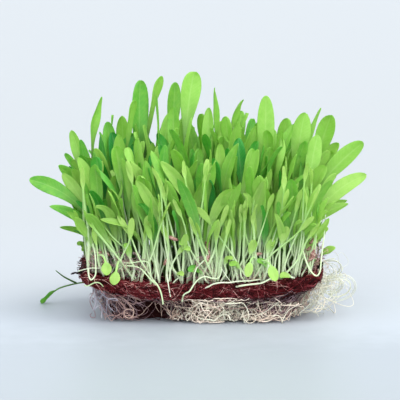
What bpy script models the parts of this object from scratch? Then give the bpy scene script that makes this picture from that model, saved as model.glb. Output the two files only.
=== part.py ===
# Microgreens on a growing mat, lifted out of their tray.
# A curled coir mat lies on the felt of roots that grew through it, and clumps of seedlings stand in it.
# Metres, +Z up. The front is -Y. The origin lies under the roots, on the surface that they rest on.

import math
import random

import bmesh
import bpy
from mathutils import Vector, noise
from mathutils.bvhtree import BVHTree

LEAF_SEED = 20
ROOT_SEED = 7
WELD = 0.00001

# Growing mat
MAT_LENGTH = 0.110
MAT_DEPTH = 0.080
MAT_THICKNESS = 0.0068
MAT_LIFT = 0.0110  # underside above the surface, in the middle
LEFT_CURL = 0.0080  # how far each end rises above the middle
RIGHT_CURL = 0.0065
MAT_END_THINNING = 0.25  # share of the thickness that the mat has lost at its ends
MAT_CELLS = (16, 11, 2)
MAT_CORNER = 0.24  # how far the corners are drawn in
MAT_RELIEF = 0.0007
MAT_BULGE = 0.0011  # of the cut edges
BUMP_SIZE = 0.006

# Roots under the mat
ROOT_GAP = 0.0004
ROOT_LEFT = 0.047
ROOT_RIGHT = 0.051
ROOT_DEPTH = 0.075
ROOT_FOOT_SHARE = 0.84  # size of the flat foot beside the top
ROOT_CELLS = (10, 7, 2)
ROOT_RELIEF = 0.0009
STRANDS = 18
STRAND_RADIUS = 0.00055
STRAND_POINTS = 7
STRAND_BULGE = 0.0016
STRAND_SINK = 0.0012
STRAND_TOP = 0.75  # where a strand starts and how far it falls, on the body's -1 to 1 height
STRAND_FALL = 1.45
STRAND_DRIFT = 0.18  # how far it may wander round the body, as a share of the way round
LEFT_SIDE = 0.20  # the left, front and back sides' shares of the way round
FRONT_SIDE = 0.42
STRAND_END = 0.86  # strands stay this far from the right end, on the body's -1 to 1 length

# Loose roots past the mat's right end
TUFT_CENTRE = Vector((0.0566, -0.006, 0.0085))
TUFT_SIZE = Vector((0.0060, 0.022, 0.0078))
TUFT_SEGMENTS = (9, 6)
TUFT_RELIEF = 0.22  # how deep the core is dented, as a share of its size
TUFT_LOOPS = 10
LOOP_REACH = (0.0085, 0.0135)
LOOP_RISE = (0.008, 0.015)
LOOP_POINTS = 8
LOOP_START = 112  # degrees up from +X, where a loop leaves the core and where it comes back
LOOP_END = -90
LOOP_WAVE = 0.002
LOOP_SPREAD = 0.78  # of the core's depth, over which the loops stand

# Seedling clumps
ROWS = 6
CLUMPS_IN_ROW = 8
ROW_MARGIN = 0.0072
CLUMP_JITTER = 0.0016
CROWN_RADIUS = 0.0020
CROWN_TOP_RADIUS = 0.0013
CROWN_DEPTH = 0.0040
CROWN_RISE = 0.0026
HOLE_GAP = 0.0004
SIDES = 5
LEAVES_IN_CLUMP = 5
LEAVES_INSIDE = 4  # of the clumps that stand within this share of the mat's length and depth
INSIDE = 0.60
TRIES = 60

# Canopy
CANOPY_HEIGHT = 0.092
CANOPY_DROP = 0.024  # how much lower it is at its reach to the sides
CANOPY_REACH = 0.068
CANOPY_FRONT_DROP = 0.024  # how much lower it is at its half depth
CANOPY_BACK_DROP = 0.014
CANOPY_HALF_DEPTH = 0.048
LOWEST_TIP = 0.020  # above the mat
FAN = 1.20  # how much wider the leaf tips spread than the roots stand
FAN_BELOW = 0.35  # share of that spread that a leaf has however short it is
TIP_SCATTER = 0.0068
LEVELS = (1.0, 0.93, 0.86, 0.79, 0.72)  # share of the canopy's height, for each leaf of a clump
LEVEL_SCATTER = 0.07
DROOP = (0.1, 0.8)  # of the clumps at the mat's edge

# Leaves
BLADE_LENGTH = (0.021, 0.030)
BLADE_HALF_WIDTH = (0.0029, 0.0040)
PETIOLE_HALF_WIDTH = 0.00062
LOW_WIDTH = 0.66  # share of its width that a leaf has however short it is
LOW_BLADE = 0.66
MOST_BLADE = 0.85  # share of a leaf's line that its blade may take
WIDEST = 0.32  # of the blade, from its tip
BLADE_POINTS = (0.66, 0.27, 0.035)  # where the blade is drawn through, from its tip
KEEL = 0.00085
ROOT_IN_CROWN = (0.2, 0.8)  # how far out a leaf's root stands in its crown, and how far up
ROOT_UP_CROWN = 0.35
RISE_OUT = (0.30, -0.20)  # how far out and up a leaf rises before it leans, with no droop
RISE_UP = (0.52, 0.40)  # and what full droop adds
FACE_TILT = 0.25
CLEARANCE = 0.00030
FREE_FROM = 0.2  # leaves of one clump stand clear of each other past this share of their lines
MAT_CLEARANCE = 0.0025
MAT_STEPS = 6  # tests between two cross-sections

# Leaves placed by hand, most of them at the outline: the root's x, the tip's x, y and z, the half width,
# the face's turn and the droop
SKYLINE = (
    (-0.050, -0.0485, -0.006, 0.0990, 0.0023, 40, 0.4),
    (-0.050, -0.0600, 0.002, 0.0830, 0.0025, -20, 0.5),
    (-0.046, -0.0430, -0.004, 0.0875, 0.0029, 25, 0.3),
    (-0.040, -0.0415, 0.010, 0.0900, 0.0019, 70, 0.1),
    (-0.038, -0.0365, 0.016, 0.0890, 0.0029, 0, 0.2),
    (-0.037, -0.0300, -0.008, 0.0980, 0.0020, 50, 0.4),
    (-0.027, -0.0270, 0.006, 0.1060, 0.0039, 5, 0.1),
    (-0.026, -0.0180, 0.014, 0.1080, 0.0022, 50, 0.5),
    (-0.018, -0.0185, -0.002, 0.1000, 0.0018, -60, 0.1),
    (-0.013, -0.0110, 0.009, 0.1050, 0.0029, 0, 0.2),
    (-0.014, -0.0020, -0.002, 0.1105, 0.0043, 10, 0.6),
    (-0.014, -0.0130, -0.013, 0.0945, 0.0026, -10, 0.2),
    (0.000, 0.0025, -0.006, 0.0940, 0.0025, 0, 0.2),
    (0.009, 0.0075, 0.004, 0.1030, 0.0018, 55, 0.1),
    (0.009, 0.0195, 0.012, 0.0975, 0.0018, 60, 0.7),
    (0.016, 0.0200, 0.016, 0.0910, 0.0025, 10, 0.4),
    (0.017, 0.0115, -0.004, 0.0905, 0.0025, -20, 0.4),
    (0.030, 0.0315, -0.002, 0.0995, 0.0037, 5, 0.1),
    (0.026, 0.0265, 0.010, 0.0875, 0.0028, 20, 0.2),
    (0.036, 0.0400, 0.004, 0.0885, 0.0030, 15, 0.5),
    (0.042, 0.0485, -0.004, 0.0915, 0.0041, 10, 0.5),
    (0.050, 0.0525, 0.014, 0.0900, 0.0020, 50, 0.3),
    (0.050, 0.0560, 0.020, 0.0930, 0.0020, 50, 0.3),
    (0.050, 0.0600, -0.002, 0.0900, 0.0038, -5, 0.4),
    (0.047, 0.0530, -0.016, 0.0820, 0.0033, 10, 0.4),
    (0.050, 0.0645, 0.008, 0.0765, 0.0029, 10, 0.4),
    (0.050, 0.0740, -0.004, 0.0790, 0.0038, -5, 0.4),
    (0.050, 0.0755, -0.018, 0.0635, 0.0034, -15, 0.8),
    (0.050, 0.0690, 0.010, 0.0485, 0.0021, 20, 0.8),
    (0.050, 0.0680, -0.012, 0.0490, 0.0027, -10, 0.8),
    (-0.050, -0.0765, -0.018, 0.0635, 0.0035, 20, 0.75),
    (-0.050, -0.0660, -0.006, 0.0665, 0.0028, 0, 0.6),
    (-0.050, -0.0630, 0.010, 0.0715, 0.0023, 30, 0.4),
    (-0.050, -0.0670, -0.024, 0.0515, 0.0027, 15, 0.8),
    (-0.050, -0.0655, 0.004, 0.0370, 0.0021, 0, 0.9),
    (-0.042, -0.0480, -0.038, 0.0700, 0.0028, -20, 0.6),
    (-0.030, -0.0375, -0.034, 0.0780, 0.0029, 10, 0.6),
    (-0.017, -0.0255, -0.042, 0.0655, 0.0035, -10, 0.7),
)
SKYLINE_PLAY = 0.007  # how far such a tip, and its turn in degrees, may shift to find room
TURN_PLAY = 10

# Seed leaves over the mat's front edge: where each tip ends, its half width and its blade's length
SEED_LEAVES = (
    (-0.0425, -0.0465, 0.0230, 0.0023, 0.0060),
    (-0.0382, -0.0480, 0.0190, 0.0024, 0.0060),
    (-0.0228, -0.0450, 0.0285, 0.0018, 0.0100),
    (-0.0058, -0.0470, 0.0262, 0.0022, 0.0075),
    (0.0225, -0.0475, 0.0225, 0.0019, 0.0066),
    (0.0305, -0.0480, 0.0205, 0.0023, 0.0075),
)
SEED_PLAY = 0.002
SEED_KEEL = 0.0008
SEED_FACE = Vector((0.1, -1.0, 0.5)).normalized()
SEED_RISE = 0.017  # of the stalk's bend above its lower end
SEED_RISE_BACK = 0.004
SEED_RISE_OUT = 0.65

# The shoot that has fallen over the left end, with its leaf on the surface
FALLEN_ROOT = Vector((-0.0440, 0.014, 0.0108))
FALLEN_RISE = Vector((-0.0620, 0.015, 0.0125))
FALLEN_TIP = Vector((-0.0765, 0.016, 0.0016))
FALLEN_SPUR = Vector((-0.0675, 0.008, 0.0170))
FALLEN_HALF_WIDTH = 0.0026
FALLEN_BLADE = 0.012
FALLEN_FACE = Vector((0.2, -0.5, 1.0)).normalized()
FALLEN_STEM_RADIUS = 0.0009
FALLEN_STEM_END = 0.25  # share of the shoot that is thick stem
FALLEN_SPUR_START = 0.42
FALLEN_HOLE_RADIUS = 0.00177
FALLEN_HOLE_DEPTH = 0.016

# Colours, linear
COIR = (0.115, 0.022, 0.016)
ROOT = (0.60, 0.50, 0.38)
LEAF = (0.22, 0.52, 0.06)


def material(name, colour, roughness):
    made = bpy.data.materials.new(name)
    made.use_nodes = True
    shader = made.node_tree.nodes["Principled BSDF"]
    shader.inputs["Base Color"].default_value = (*colour, 1.0)
    shader.inputs["Roughness"].default_value = roughness
    shader.inputs["Metallic"].default_value = 0.0
    return made


def object_of(name, bm, collection, finish=None):
    """A mesh object from bm, with its faces pointing out."""
    bmesh.ops.recalc_face_normals(bm, faces=bm.faces[:])
    mesh = bpy.data.meshes.new(name)
    bm.to_mesh(mesh)
    bm.free()
    made = bpy.data.objects.new(name, mesh)
    collection.objects.link(made)
    if finish:
        mesh.materials.append(finish)
    return made


def mat_bottom(x):
    """Height of the mat's underside, which sags in the middle and curls up at both ends."""
    end = min(1.0, abs(x) / (MAT_LENGTH / 2))
    curl = LEFT_CURL if x < 0 else RIGHT_CURL
    return MAT_LIFT + curl * end**3


def mat_top(x):
    end = min(1.0, abs(x) / (MAT_LENGTH / 2))
    return mat_bottom(x) + MAT_THICKNESS * (1 - MAT_END_THINNING * end**4)


def box_in_cells(cells):
    """A box from -1 to 1 each way, cut into that many cells along X, Y and Z."""
    bm = bmesh.new()
    bmesh.ops.create_cube(bm, size=2.0)
    for axis, count in enumerate(cells):
        normal = Vector((axis == 0, axis == 1, axis == 2))
        for cut in range(1, count):
            everything = bm.verts[:] + bm.edges[:] + bm.faces[:]
            place = normal * (2 * cut / count - 1)
            bmesh.ops.bisect_plane(bm, geom=everything, plane_co=place, plane_no=normal, dist=1e-5)
    return bm


def rounded(u, v):
    """A point of the square from -1 to 1, with the square's corners drawn in."""
    return (
        u * math.sqrt(1 - MAT_CORNER * v * v / 2),
        v * math.sqrt(1 - MAT_CORNER * u * u / 2),
    )


def growing_mat(collection, finish, holes):
    """The coir mat: fibres raise its top and its edges, and each clump stands in a plain hole."""
    bm = box_in_cells(MAT_CELLS)
    for vert in bm.verts:
        level = vert.co.z
        edge = max(abs(vert.co.x), abs(vert.co.y)) > 0.999
        u, v = rounded(vert.co.x, vert.co.y)
        place = Vector((u * MAT_LENGTH / 2, v * MAT_DEPTH / 2, 0))
        bump = noise.noise(Vector((place.x / BUMP_SIZE, place.y / BUMP_SIZE, level)))
        low, high = mat_bottom(place.x), mat_top(place.x)
        place.z = low + (high - low) * (level + 1) / 2
        if level > 0.999:
            place.z += bump * MAT_RELIEF
        if edge and level > -0.999:
            out = Vector((place.x, place.y, 0)).normalized()
            place += out * (MAT_RELIEF * bump + MAT_BULGE * (1 - level * level))
        vert.co = place
    mat = object_of("growing_mat", bm, collection, finish)
    cut = mat.modifiers.new("holes", "BOOLEAN")
    cut.operation = "DIFFERENCE"
    cut.object = holes
    return mat


def add_plug(bm, place, low, high, radius, top_radius):
    """Adds an upright plug with a few flat sides at place, from low to high."""
    made = bmesh.ops.create_cone(
        bm, cap_ends=True, segments=SIDES, radius1=radius, radius2=top_radius, depth=high - low
    )
    bmesh.ops.translate(bm, verts=made["verts"], vec=Vector((place.x, place.y, (low + high) / 2)))


def as_cutter(made):
    made.hide_render = True
    made.display_type = "WIRE"
    return made


def mat_holes(places, collection):
    """One cutter with a plain hole for each clump."""
    bm = bmesh.new()
    radius = CROWN_RADIUS + HOLE_GAP
    for place in places:
        add_plug(bm, place, place.z - CROWN_DEPTH - HOLE_GAP, place.z + CROWN_RISE, radius, radius)
    return as_cutter(object_of("mat_holes", bm, collection))


def keep_outer_skin(bm):
    """Drops every skin but the largest: what is left of a hollow that the union sealed, or a loose scrap."""
    left, skins = set(bm.verts), []
    while left:
        front = [left.pop()]
        skin = set(front)
        while front:
            vert = front.pop()
            near = {edge.other_vert(vert) for edge in vert.link_edges} - skin
            skin |= near
            front += near
        left -= skin
        skins.append(skin)
    skins.sort(key=len)
    for skin in skins[:-1]:
        bmesh.ops.delete(bm, geom=list(skin), context="VERTS")


def joined(body, collection, name, target, finish, solver="MANIFOLD"):
    """Body and everything in the collection as one solid. The pieces that it was made of are removed."""
    union = body.modifiers.new("union", "BOOLEAN")
    union.operation = "UNION"
    union.operand_type = "COLLECTION"
    union.collection = collection
    union.solver = solver
    graph = bpy.context.evaluated_depsgraph_get()
    mesh = bpy.data.meshes.new_from_object(body.evaluated_get(graph))
    mesh.name = name
    bm = bmesh.new()
    bm.from_mesh(mesh)
    if solver == "EXACT":
        bmesh.ops.remove_doubles(bm, verts=bm.verts[:], dist=WELD)
        bmesh.ops.dissolve_degenerate(bm, edges=bm.edges[:], dist=WELD)
    keep_outer_skin(bm)
    bm.to_mesh(mesh)
    bm.free()
    mesh.materials.clear()
    mesh.materials.append(finish)
    made = bpy.data.objects.new(name, mesh)
    target.objects.link(made)
    for piece in [body, *collection.objects]:
        bpy.data.objects.remove(piece)
    return made


def tube(name, points, radius, collection):
    """A four-sided tube through the points, as a mesh with its caps welded on."""
    curve = bpy.data.curves.new(name, "CURVE")
    curve.dimensions = "3D"
    curve.bevel_depth = radius
    curve.bevel_resolution = 0
    curve.use_fill_caps = True
    spline = curve.splines.new("POLY")
    spline.points.add(len(points) - 1)
    for point, place in zip(spline.points, points):
        point.co = (*place, 1.0)
    guide = bpy.data.objects.new(name, curve)
    collection.objects.link(guide)
    graph = bpy.context.evaluated_depsgraph_get()
    bm = bmesh.new()
    bm.from_mesh(bpy.data.meshes.new_from_object(guide.evaluated_get(graph)))
    bmesh.ops.remove_doubles(bm, verts=bm.verts[:], dist=1e-5)
    bpy.data.objects.remove(guide)
    return object_of(name, bm, collection)


def root_point(u, v, level):
    """A point of the root felt's own body, from its -1 to 1 box."""
    u, v = rounded(u, v)
    height = (level + 1) / 2
    size = ROOT_FOOT_SHARE + (1 - ROOT_FOOT_SHARE) * height
    x = u * (ROOT_LEFT if u < 0 else ROOT_RIGHT) * size
    y = v * ROOT_DEPTH / 2 * size
    return Vector((x, y, (mat_bottom(x) - ROOT_GAP) * height))


def side_of_box(around):
    """A point of the -1 to 1 square's left, front or back side, which follow each other round from 0 to 1."""
    around = min(max(around, 0.0), 1.0)
    if around < LEFT_SIDE:
        return -1.0, 1 - 2 * around / LEFT_SIDE
    run = 1 + STRAND_END
    if around < LEFT_SIDE + FRONT_SIDE:
        return -1 + run * (around - LEFT_SIDE) / FRONT_SIDE, -1.0
    return STRAND_END - run * (around - LEFT_SIDE - FRONT_SIDE) / (1 - LEFT_SIDE - FRONT_SIDE), 1.0


def root_strand(side, rng):
    """The points of a thick root that wanders down the body's side, sunk into it at both ends."""
    drift = rng.uniform(-STRAND_DRIFT, STRAND_DRIFT)
    points = []
    for step in range(STRAND_POINTS):
        along = step / (STRAND_POINTS - 1)
        u, v = side_of_box(side + drift * along)
        place = root_point(u, v, STRAND_TOP - STRAND_FALL * along)
        out = Vector((place.x / 2, place.y, 0)).normalized()
        swell = STRAND_BULGE * math.sin(math.pi * along) * rng.uniform(0.7, 1.3)
        sunk = STRAND_SINK if step in (0, STRAND_POINTS - 1) else 0
        place += out * (swell - sunk)
        place.z = max(place.z, STRAND_RADIUS * 1.2)
        place.z = min(place.z, mat_bottom(place.x) - STRAND_RADIUS * 2.2)
        points.append(place)
    return points


def root_felt(finish, collection, scratch, rng):
    """The felt of roots: a flat-footed body, with strands that wander over its left, front and back sides."""
    bm = box_in_cells(ROOT_CELLS)
    for vert in bm.verts:
        place = root_point(*vert.co)
        if abs(vert.co.z) < 0.999:
            out = Vector((place.x, place.y, 0)).normalized()
            place += out * ROOT_RELIEF * (1 + noise.noise(place / BUMP_SIZE))
        vert.co = place
    body = object_of("root_body", bm, collection)
    for number in range(STRANDS):
        tube(f"strand_{number}", root_strand(number / STRANDS, rng), STRAND_RADIUS, scratch)
    return joined(body, scratch, "root_felt", collection, finish, "EXACT")


def root_loop(number, rng):
    """The points of a loose root that loops out of the tuft's core, down to the surface and back."""
    y = TUFT_CENTRE.y + TUFT_SIZE.y * LOOP_SPREAD * (2 * number / (TUFT_LOOPS - 1) - 1)
    reach, rise = rng.uniform(*LOOP_REACH), rng.uniform(*LOOP_RISE)
    points = []
    for step in range(LOOP_POINTS):
        along = step / (LOOP_POINTS - 1)
        angle = math.radians(LOOP_START + (LOOP_END - LOOP_START) * along)
        far = 0.4 + 0.6 * math.sin(math.pi * along)
        x = TUFT_CENTRE.x + reach * math.cos(angle) * far
        z = TUFT_CENTRE.z + rise * math.sin(angle) * far
        points.append(
            Vector((x, y + LOOP_WAVE * math.sin(3 * angle + number), max(z, STRAND_RADIUS * 1.2)))
        )
    return points


def root_tuft(finish, collection, scratch, rng):
    """The loose roots past the mat's right end: a small dented core with loops of root standing out of it."""
    bm = bmesh.new()
    across, up = TUFT_SEGMENTS
    bmesh.ops.create_uvsphere(bm, u_segments=across, v_segments=up, radius=1.0)
    for vert in bm.verts:
        share = 1 - TUFT_RELIEF * (0.5 + 0.5 * noise.noise(vert.co * 2.5))
        vert.co = TUFT_CENTRE + Vector([c * s for c, s in zip(vert.co, TUFT_SIZE)]) * share
    body = object_of("tuft_core", bm, collection)
    for number in range(TUFT_LOOPS):
        tube(f"loop_{number}", root_loop(number, rng), STRAND_RADIUS, scratch)
    return joined(body, scratch, "root_tuft", collection, finish)


def clump_places(rng):
    """Where the clumps stand: staggered rows from front to back, each place shifted a little."""
    places = []
    for row in range(ROWS):
        v = 2 * row / (ROWS - 1) - 1
        y = v * (MAT_DEPTH / 2 - ROW_MARGIN)
        for number in range(CLUMPS_IN_ROW):
            stagger = 0.25 if row % 2 else -0.25
            u = (2 * (number + 0.5 + stagger) / CLUMPS_IN_ROW) - 1
            x = u * (MAT_LENGTH / 2 - ROW_MARGIN / 2) * (1 - 0.05 * v * v)
            shift = Vector([rng.uniform(-CLUMP_JITTER, CLUMP_JITTER) for _ in range(2)])
            places.append(Vector((x + shift.x, y + shift.y, mat_top(x + shift.x))))
    return places


def spine(leaf, s):
    """The point a share s along a leaf's own line, from its root to its tip."""
    return leaf["root"] * (1 - s) ** 2 + leaf["rise"] * (2 * s * (1 - s)) + leaf["tip"] * s**2


def heading(leaf, s):
    return ((leaf["rise"] - leaf["root"]) * (1 - s) + (leaf["tip"] - leaf["rise"]) * s).normalized()


def blade_share(leaf, t):
    """The share along a leaf's line of a point t along its blade: 0 is the tip, 1 the petiole's end."""
    length = ((leaf["rise"] - leaf["root"]).length + (leaf["tip"] - leaf["root"]).length) / 2
    return 1 - t * min(MOST_BLADE, leaf["blade"] / length)


def half_width(leaf, t):
    """Half the leaf's width at t along its blade: a round tip, widest near it, then a long taper."""
    if t < WIDEST:
        return leaf["half_width"] * math.sqrt(1 - (1 - t / WIDEST) ** 2)
    share = 0.5 * (1 + math.cos(math.pi * (t - WIDEST) / (1 - WIDEST)))
    return PETIOLE_HALF_WIDTH + (leaf["half_width"] - PETIOLE_HALF_WIDTH) * share


def ring(leaf, s, t, grow):
    """Three corners of the leaf's cross-section: its two edges and the keel under its midrib."""
    centre, ahead = spine(leaf, s), heading(leaf, s)
    up = (leaf["face"] - ahead * leaf["face"].dot(ahead)).normalized()
    side = ahead.cross(up) * (half_width(leaf, t) + grow)
    return [centre - side + up * grow, centre + side + up * grow, centre - up * (leaf["keel"] + grow)]


def leaf_rings(leaf, grow=0.0, from_share=0.0):
    """The cross-sections that a leaf is lofted through, from its root to its round tip."""
    start = blade_share(leaf, 1.0)
    shares = [(0.0, 1.0), (start / 2, 1.0), (start, 1.0)]
    shares += [(blade_share(leaf, t), t) for t in BLADE_POINTS]
    return [ring(leaf, s, t, grow) for s, t in shares if s >= from_share]


def loft(bm, rings):
    """A closed skin through three-cornered rings."""
    made = [[bm.verts.new(corner) for corner in corners] for corners in rings]
    for first, second in zip(made, made[1:]):
        for i in range(3):
            j = (i + 1) % 3
            bm.faces.new((first[i], first[j], second[j], second[i]))
    bm.faces.new(made[0][::-1])
    bm.faces.new(made[-1])


def tree_of(rings):
    """The skin through the rings, for finding what it meets."""
    corners = [corner for corners in rings for corner in corners]
    faces = []
    for level in range(len(rings) - 1):
        for i in range(3):
            j = (i + 1) % 3
            a, b = 3 * level + i, 3 * level + j
            faces += [(a, b, b + 3), (a, b + 3, a + 3)]
    faces += [(0, 2, 1), tuple(len(corners) - 3 + i for i in range(3))]
    return BVHTree.FromPolygons(corners, faces)


def faces_along(leaf):
    """True if the leaf's face never points along the leaf, where its width would have no direction."""
    return all(abs(leaf["face"].dot(heading(leaf, s))) < 0.9 for s in (0, 0.5, 1))


def canopy(x, y):
    """The canopy's height over a point: a dome that falls away to the sides, and most to the front."""
    side = min(1.15, abs(x) / CANOPY_REACH)
    front = min(1.0, abs(y) / CANOPY_HALF_DEPTH)
    towards_edge = CANOPY_FRONT_DROP if y < 0 else CANOPY_BACK_DROP
    return CANOPY_HEIGHT - CANOPY_DROP * side**3 - towards_edge * front**2


def leaf_root(place, rng):
    """A leaf's own root, inside the crown of its clump."""
    angle, far = rng.uniform(0, math.tau), rng.uniform(*ROOT_IN_CROWN) * CROWN_TOP_RADIUS
    return place + Vector((far * math.cos(angle), far * math.sin(angle), CROWN_RISE * ROOT_UP_CROWN))


def leaf_to(root, tip, rng, width, turn, droop):
    """A leaf from root to tip. It rises first and then leans, the more so with more droop."""
    reach = tip - root
    out = RISE_OUT[0] + RISE_OUT[1] * droop
    up = RISE_UP[0] + RISE_UP[1] * droop
    turn = math.radians(turn)
    return {
        "root": root,
        "rise": root + Vector((reach.x * out, reach.y * out, reach.z * up)),
        "tip": tip,
        "half_width": width,
        "blade": rng.uniform(*BLADE_LENGTH) * (LOW_BLADE + (1 - LOW_BLADE) * width / BLADE_HALF_WIDTH[1]),
        "keel": KEEL,
        "face": Vector((math.sin(turn), -math.cos(turn), FACE_TILT)).normalized(),
    }


def drawn_leaf(place, level, rng):
    """A leaf of the clump at place, drawn at random within the canopy."""
    x = place.x * FAN + rng.gauss(0, TIP_SCATTER)
    y = place.y * FAN + rng.gauss(0, TIP_SCATTER)
    share = min(1.0, level * rng.uniform(1 - LEVEL_SCATTER, 1 + LEVEL_SCATTER))
    fan = FAN_BELOW + (1 - FAN_BELOW) * share
    tip = Vector((x * fan + place.x * (1 - fan), y * fan + place.y * (1 - fan), 0))
    tip.z = max(place.z + LOWEST_TIP, canopy(tip.x, tip.y) * share)
    width = rng.uniform(*BLADE_HALF_WIDTH) * (LOW_WIDTH + (1 - LOW_WIDTH) * share)
    lean = min(1.0, 2 * math.hypot(place.x / MAT_LENGTH, place.y / MAT_DEPTH))
    turn, droop = rng.uniform(-90, 90), lean * rng.uniform(*DROOP)
    return leaf_to(leaf_root(place, rng), tip, rng, width, turn, droop)


def seed_leaf(place, tip, width, blade, rng):
    """A small round seed leaf on a thin stalk that bends over the mat's front edge."""
    root = leaf_root(place, rng)
    x = place.x + (tip.x - place.x) * SEED_RISE_OUT
    return {
        "root": root,
        "rise": Vector((x, tip.y + SEED_RISE_BACK, max(root.z, tip.z) + SEED_RISE)),
        "tip": tip,
        "half_width": width,
        "blade": blade,
        "keel": SEED_KEEL,
        "face": SEED_FACE,
    }


def in_mat(place):
    """True if the place is in the mat or nearly touches it."""
    beside = (
        abs(place.x) > MAT_LENGTH / 2 + MAT_CLEARANCE or abs(place.y) > MAT_DEPTH / 2 + MAT_CLEARANCE
    )
    above = place.z > mat_top(place.x) + MAT_RELIEF + CLEARANCE
    below = place.z < mat_bottom(place.x) - CLEARANCE
    return not (beside or above or below)


def meets_mat(rings):
    """True if the skin through the rings meets the mat. The first ring is the leaf's root."""
    for first, second in zip(rings[1:], rings[2:]):
        for step in range(MAT_STEPS + 1):
            if any(in_mat(a.lerp(b, step / MAT_STEPS)) for a, b in zip(first, second)):
                return True
    return False


class Canopy:
    """The leaves placed so far, and the test that a new one keeps clear of them."""

    def __init__(self, places):
        self.places = places
        self.leaves = [[] for _ in places]
        self.trees = [[] for _ in places]
        self.upper = [[] for _ in places]

    def clear(self, clump, leaf):
        if not faces_along(leaf) or meets_mat(leaf_rings(leaf, CLEARANCE)):
            return False
        tree = tree_of(leaf_rings(leaf, CLEARANCE))
        for other, trees in enumerate(self.trees):
            if other != clump and any(tree.overlap(found) for found in trees):
                return False
        upper = tree_of(leaf_rings(leaf, CLEARANCE, FREE_FROM))
        return not any(upper.overlap(found) for found in self.upper[clump])

    def add(self, clump, leaf):
        self.leaves[clump].append(leaf)
        self.trees[clump].append(tree_of(leaf_rings(leaf, CLEARANCE)))
        self.upper[clump].append(tree_of(leaf_rings(leaf, CLEARANCE, FREE_FROM)))

    def try_to_add(self, clump, draw):
        for _ in range(TRIES):
            leaf = draw()
            if self.clear(clump, leaf):
                self.add(clump, leaf)
                return True
        return False


def nearest_clump(canopy_so_far, x, y, most):
    """The clump at x whose leaves would fan out to y, if it doesn't hold the most already."""
    free = [i for i, leaves in enumerate(canopy_so_far.leaves) if len(leaves) < most]
    target = Vector((x, y / FAN))
    return min(free, key=lambda i: (canopy_so_far.places[i].xy - target).length)


def leaves_at(place):
    """How many leaves the clump at place may hold: fewer inside the bed, where few of them show."""
    inside = abs(place.x) < INSIDE * MAT_LENGTH / 2 and abs(place.y) < INSIDE * MAT_DEPTH / 2
    return LEAVES_INSIDE if inside else LEAVES_IN_CLUMP


def grow(places, rng):
    """The leaves of each clump: the skyline and the seed leaves first, then the rest from the top down."""
    made = Canopy(places)
    for foot, x, y, z, width, turn, droop in SKYLINE:
        clump = nearest_clump(made, foot, y, 2)
        root = leaf_root(places[clump], rng)
        made.try_to_add(
            clump,
            lambda: leaf_to(
                root,
                Vector((x, y + rng.uniform(-SKYLINE_PLAY, SKYLINE_PLAY), z)),
                rng,
                width,
                turn + rng.uniform(-TURN_PLAY, TURN_PLAY),
                droop,
            ),
        )
    for x, y, z, width, blade in SEED_LEAVES:
        clump = min(range(CLUMPS_IN_ROW), key=lambda i: abs(places[i].x - x))
        made.try_to_add(
            clump,
            lambda: seed_leaf(
                places[clump], Vector((x + rng.uniform(-SEED_PLAY, SEED_PLAY), y, z)), width, blade, rng
            ),
        )
    for level in LEVELS:
        for clump, place in enumerate(places):
            if len(made.leaves[clump]) < leaves_at(place):
                made.try_to_add(clump, lambda: drawn_leaf(place, level, rng))
    return made.leaves


def seedling_clump(number, place, leaves, collection, scratch, finish):
    """A clump: its leaves sunk in the crown that stands in the mat's hole."""
    for count, leaf in enumerate(leaves):
        bm = bmesh.new()
        loft(bm, leaf_rings(leaf))
        object_of(f"leaf_{number}_{count}", bm, scratch)
    bm = bmesh.new()
    low, high = place.z - CROWN_DEPTH, place.z + CROWN_RISE
    add_plug(bm, place, low, high, CROWN_RADIUS, CROWN_TOP_RADIUS)
    crown = object_of("crown", bm, collection)
    return joined(crown, scratch, f"seedlings_{number + 1:02d}", collection, finish)


def fallen_shoot(collection, scratch, finish):
    """The shoot over the left end: a leaf that reaches down to the surface, and a bare spur beside it."""
    leaf = {
        "root": FALLEN_ROOT,
        "rise": FALLEN_RISE,
        "tip": FALLEN_TIP,
        "half_width": FALLEN_HALF_WIDTH,
        "blade": FALLEN_BLADE,
        "keel": KEEL,
        "face": FALLEN_FACE,
    }
    bm = bmesh.new()
    loft(bm, leaf_rings(leaf))
    object_of("fallen_leaf", bm, scratch)
    start = spine(leaf, FALLEN_SPUR_START)
    spur = [start.lerp(FALLEN_SPUR, s) for s in (0, 0.5, 1)]
    tube("spur", spur, PETIOLE_HALF_WIDTH, scratch)
    line = [spine(leaf, FALLEN_STEM_END * s) for s in (0, 0.5, 1)]
    stem = tube("fallen_stem", line, FALLEN_STEM_RADIUS, collection)
    return joined(stem, scratch, "fallen_seedling", collection, finish)


def fallen_hole(collection):
    """The cutter for the plain hole in the roots that the fallen shoot grows from."""
    direction = (FALLEN_RISE - FALLEN_ROOT).normalized()
    start = FALLEN_ROOT - direction * HOLE_GAP
    line = [start, start + direction * FALLEN_HOLE_DEPTH]
    return as_cutter(tube("fallen_hole", line, FALLEN_HOLE_RADIUS, collection))


def main():
    for old in list(bpy.data.objects):
        bpy.data.objects.remove(old)
    collections = {}
    for name in ("microgreens_mat", "cutters", "scratch"):
        collections[name] = bpy.data.collections.new(name)
        bpy.context.scene.collection.children.link(collections[name])
    parts, cutters, scratch = collections.values()
    coir = material("coir", COIR, 0.9)
    root = material("root", ROOT, 0.8)
    leaf = material("leaf", LEAF, 0.5)

    leaf_rng, root_rng = random.Random(LEAF_SEED), random.Random(ROOT_SEED)
    places = clump_places(leaf_rng)
    growing_mat(parts, coir, mat_holes(places, cutters))
    felt = root_felt(root, parts, scratch, root_rng)
    hole = felt.modifiers.new("fallen_hole", "BOOLEAN")
    hole.operation = "DIFFERENCE"
    hole.solver = "MANIFOLD"
    hole.object = fallen_hole(cutters)
    root_tuft(root, parts, scratch, root_rng)
    fallen_shoot(parts, scratch, leaf)
    for number, (place, leaves) in enumerate(zip(places, grow(places, leaf_rng))):
        seedling_clump(number, place, leaves, parts, scratch, leaf)


main()
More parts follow.
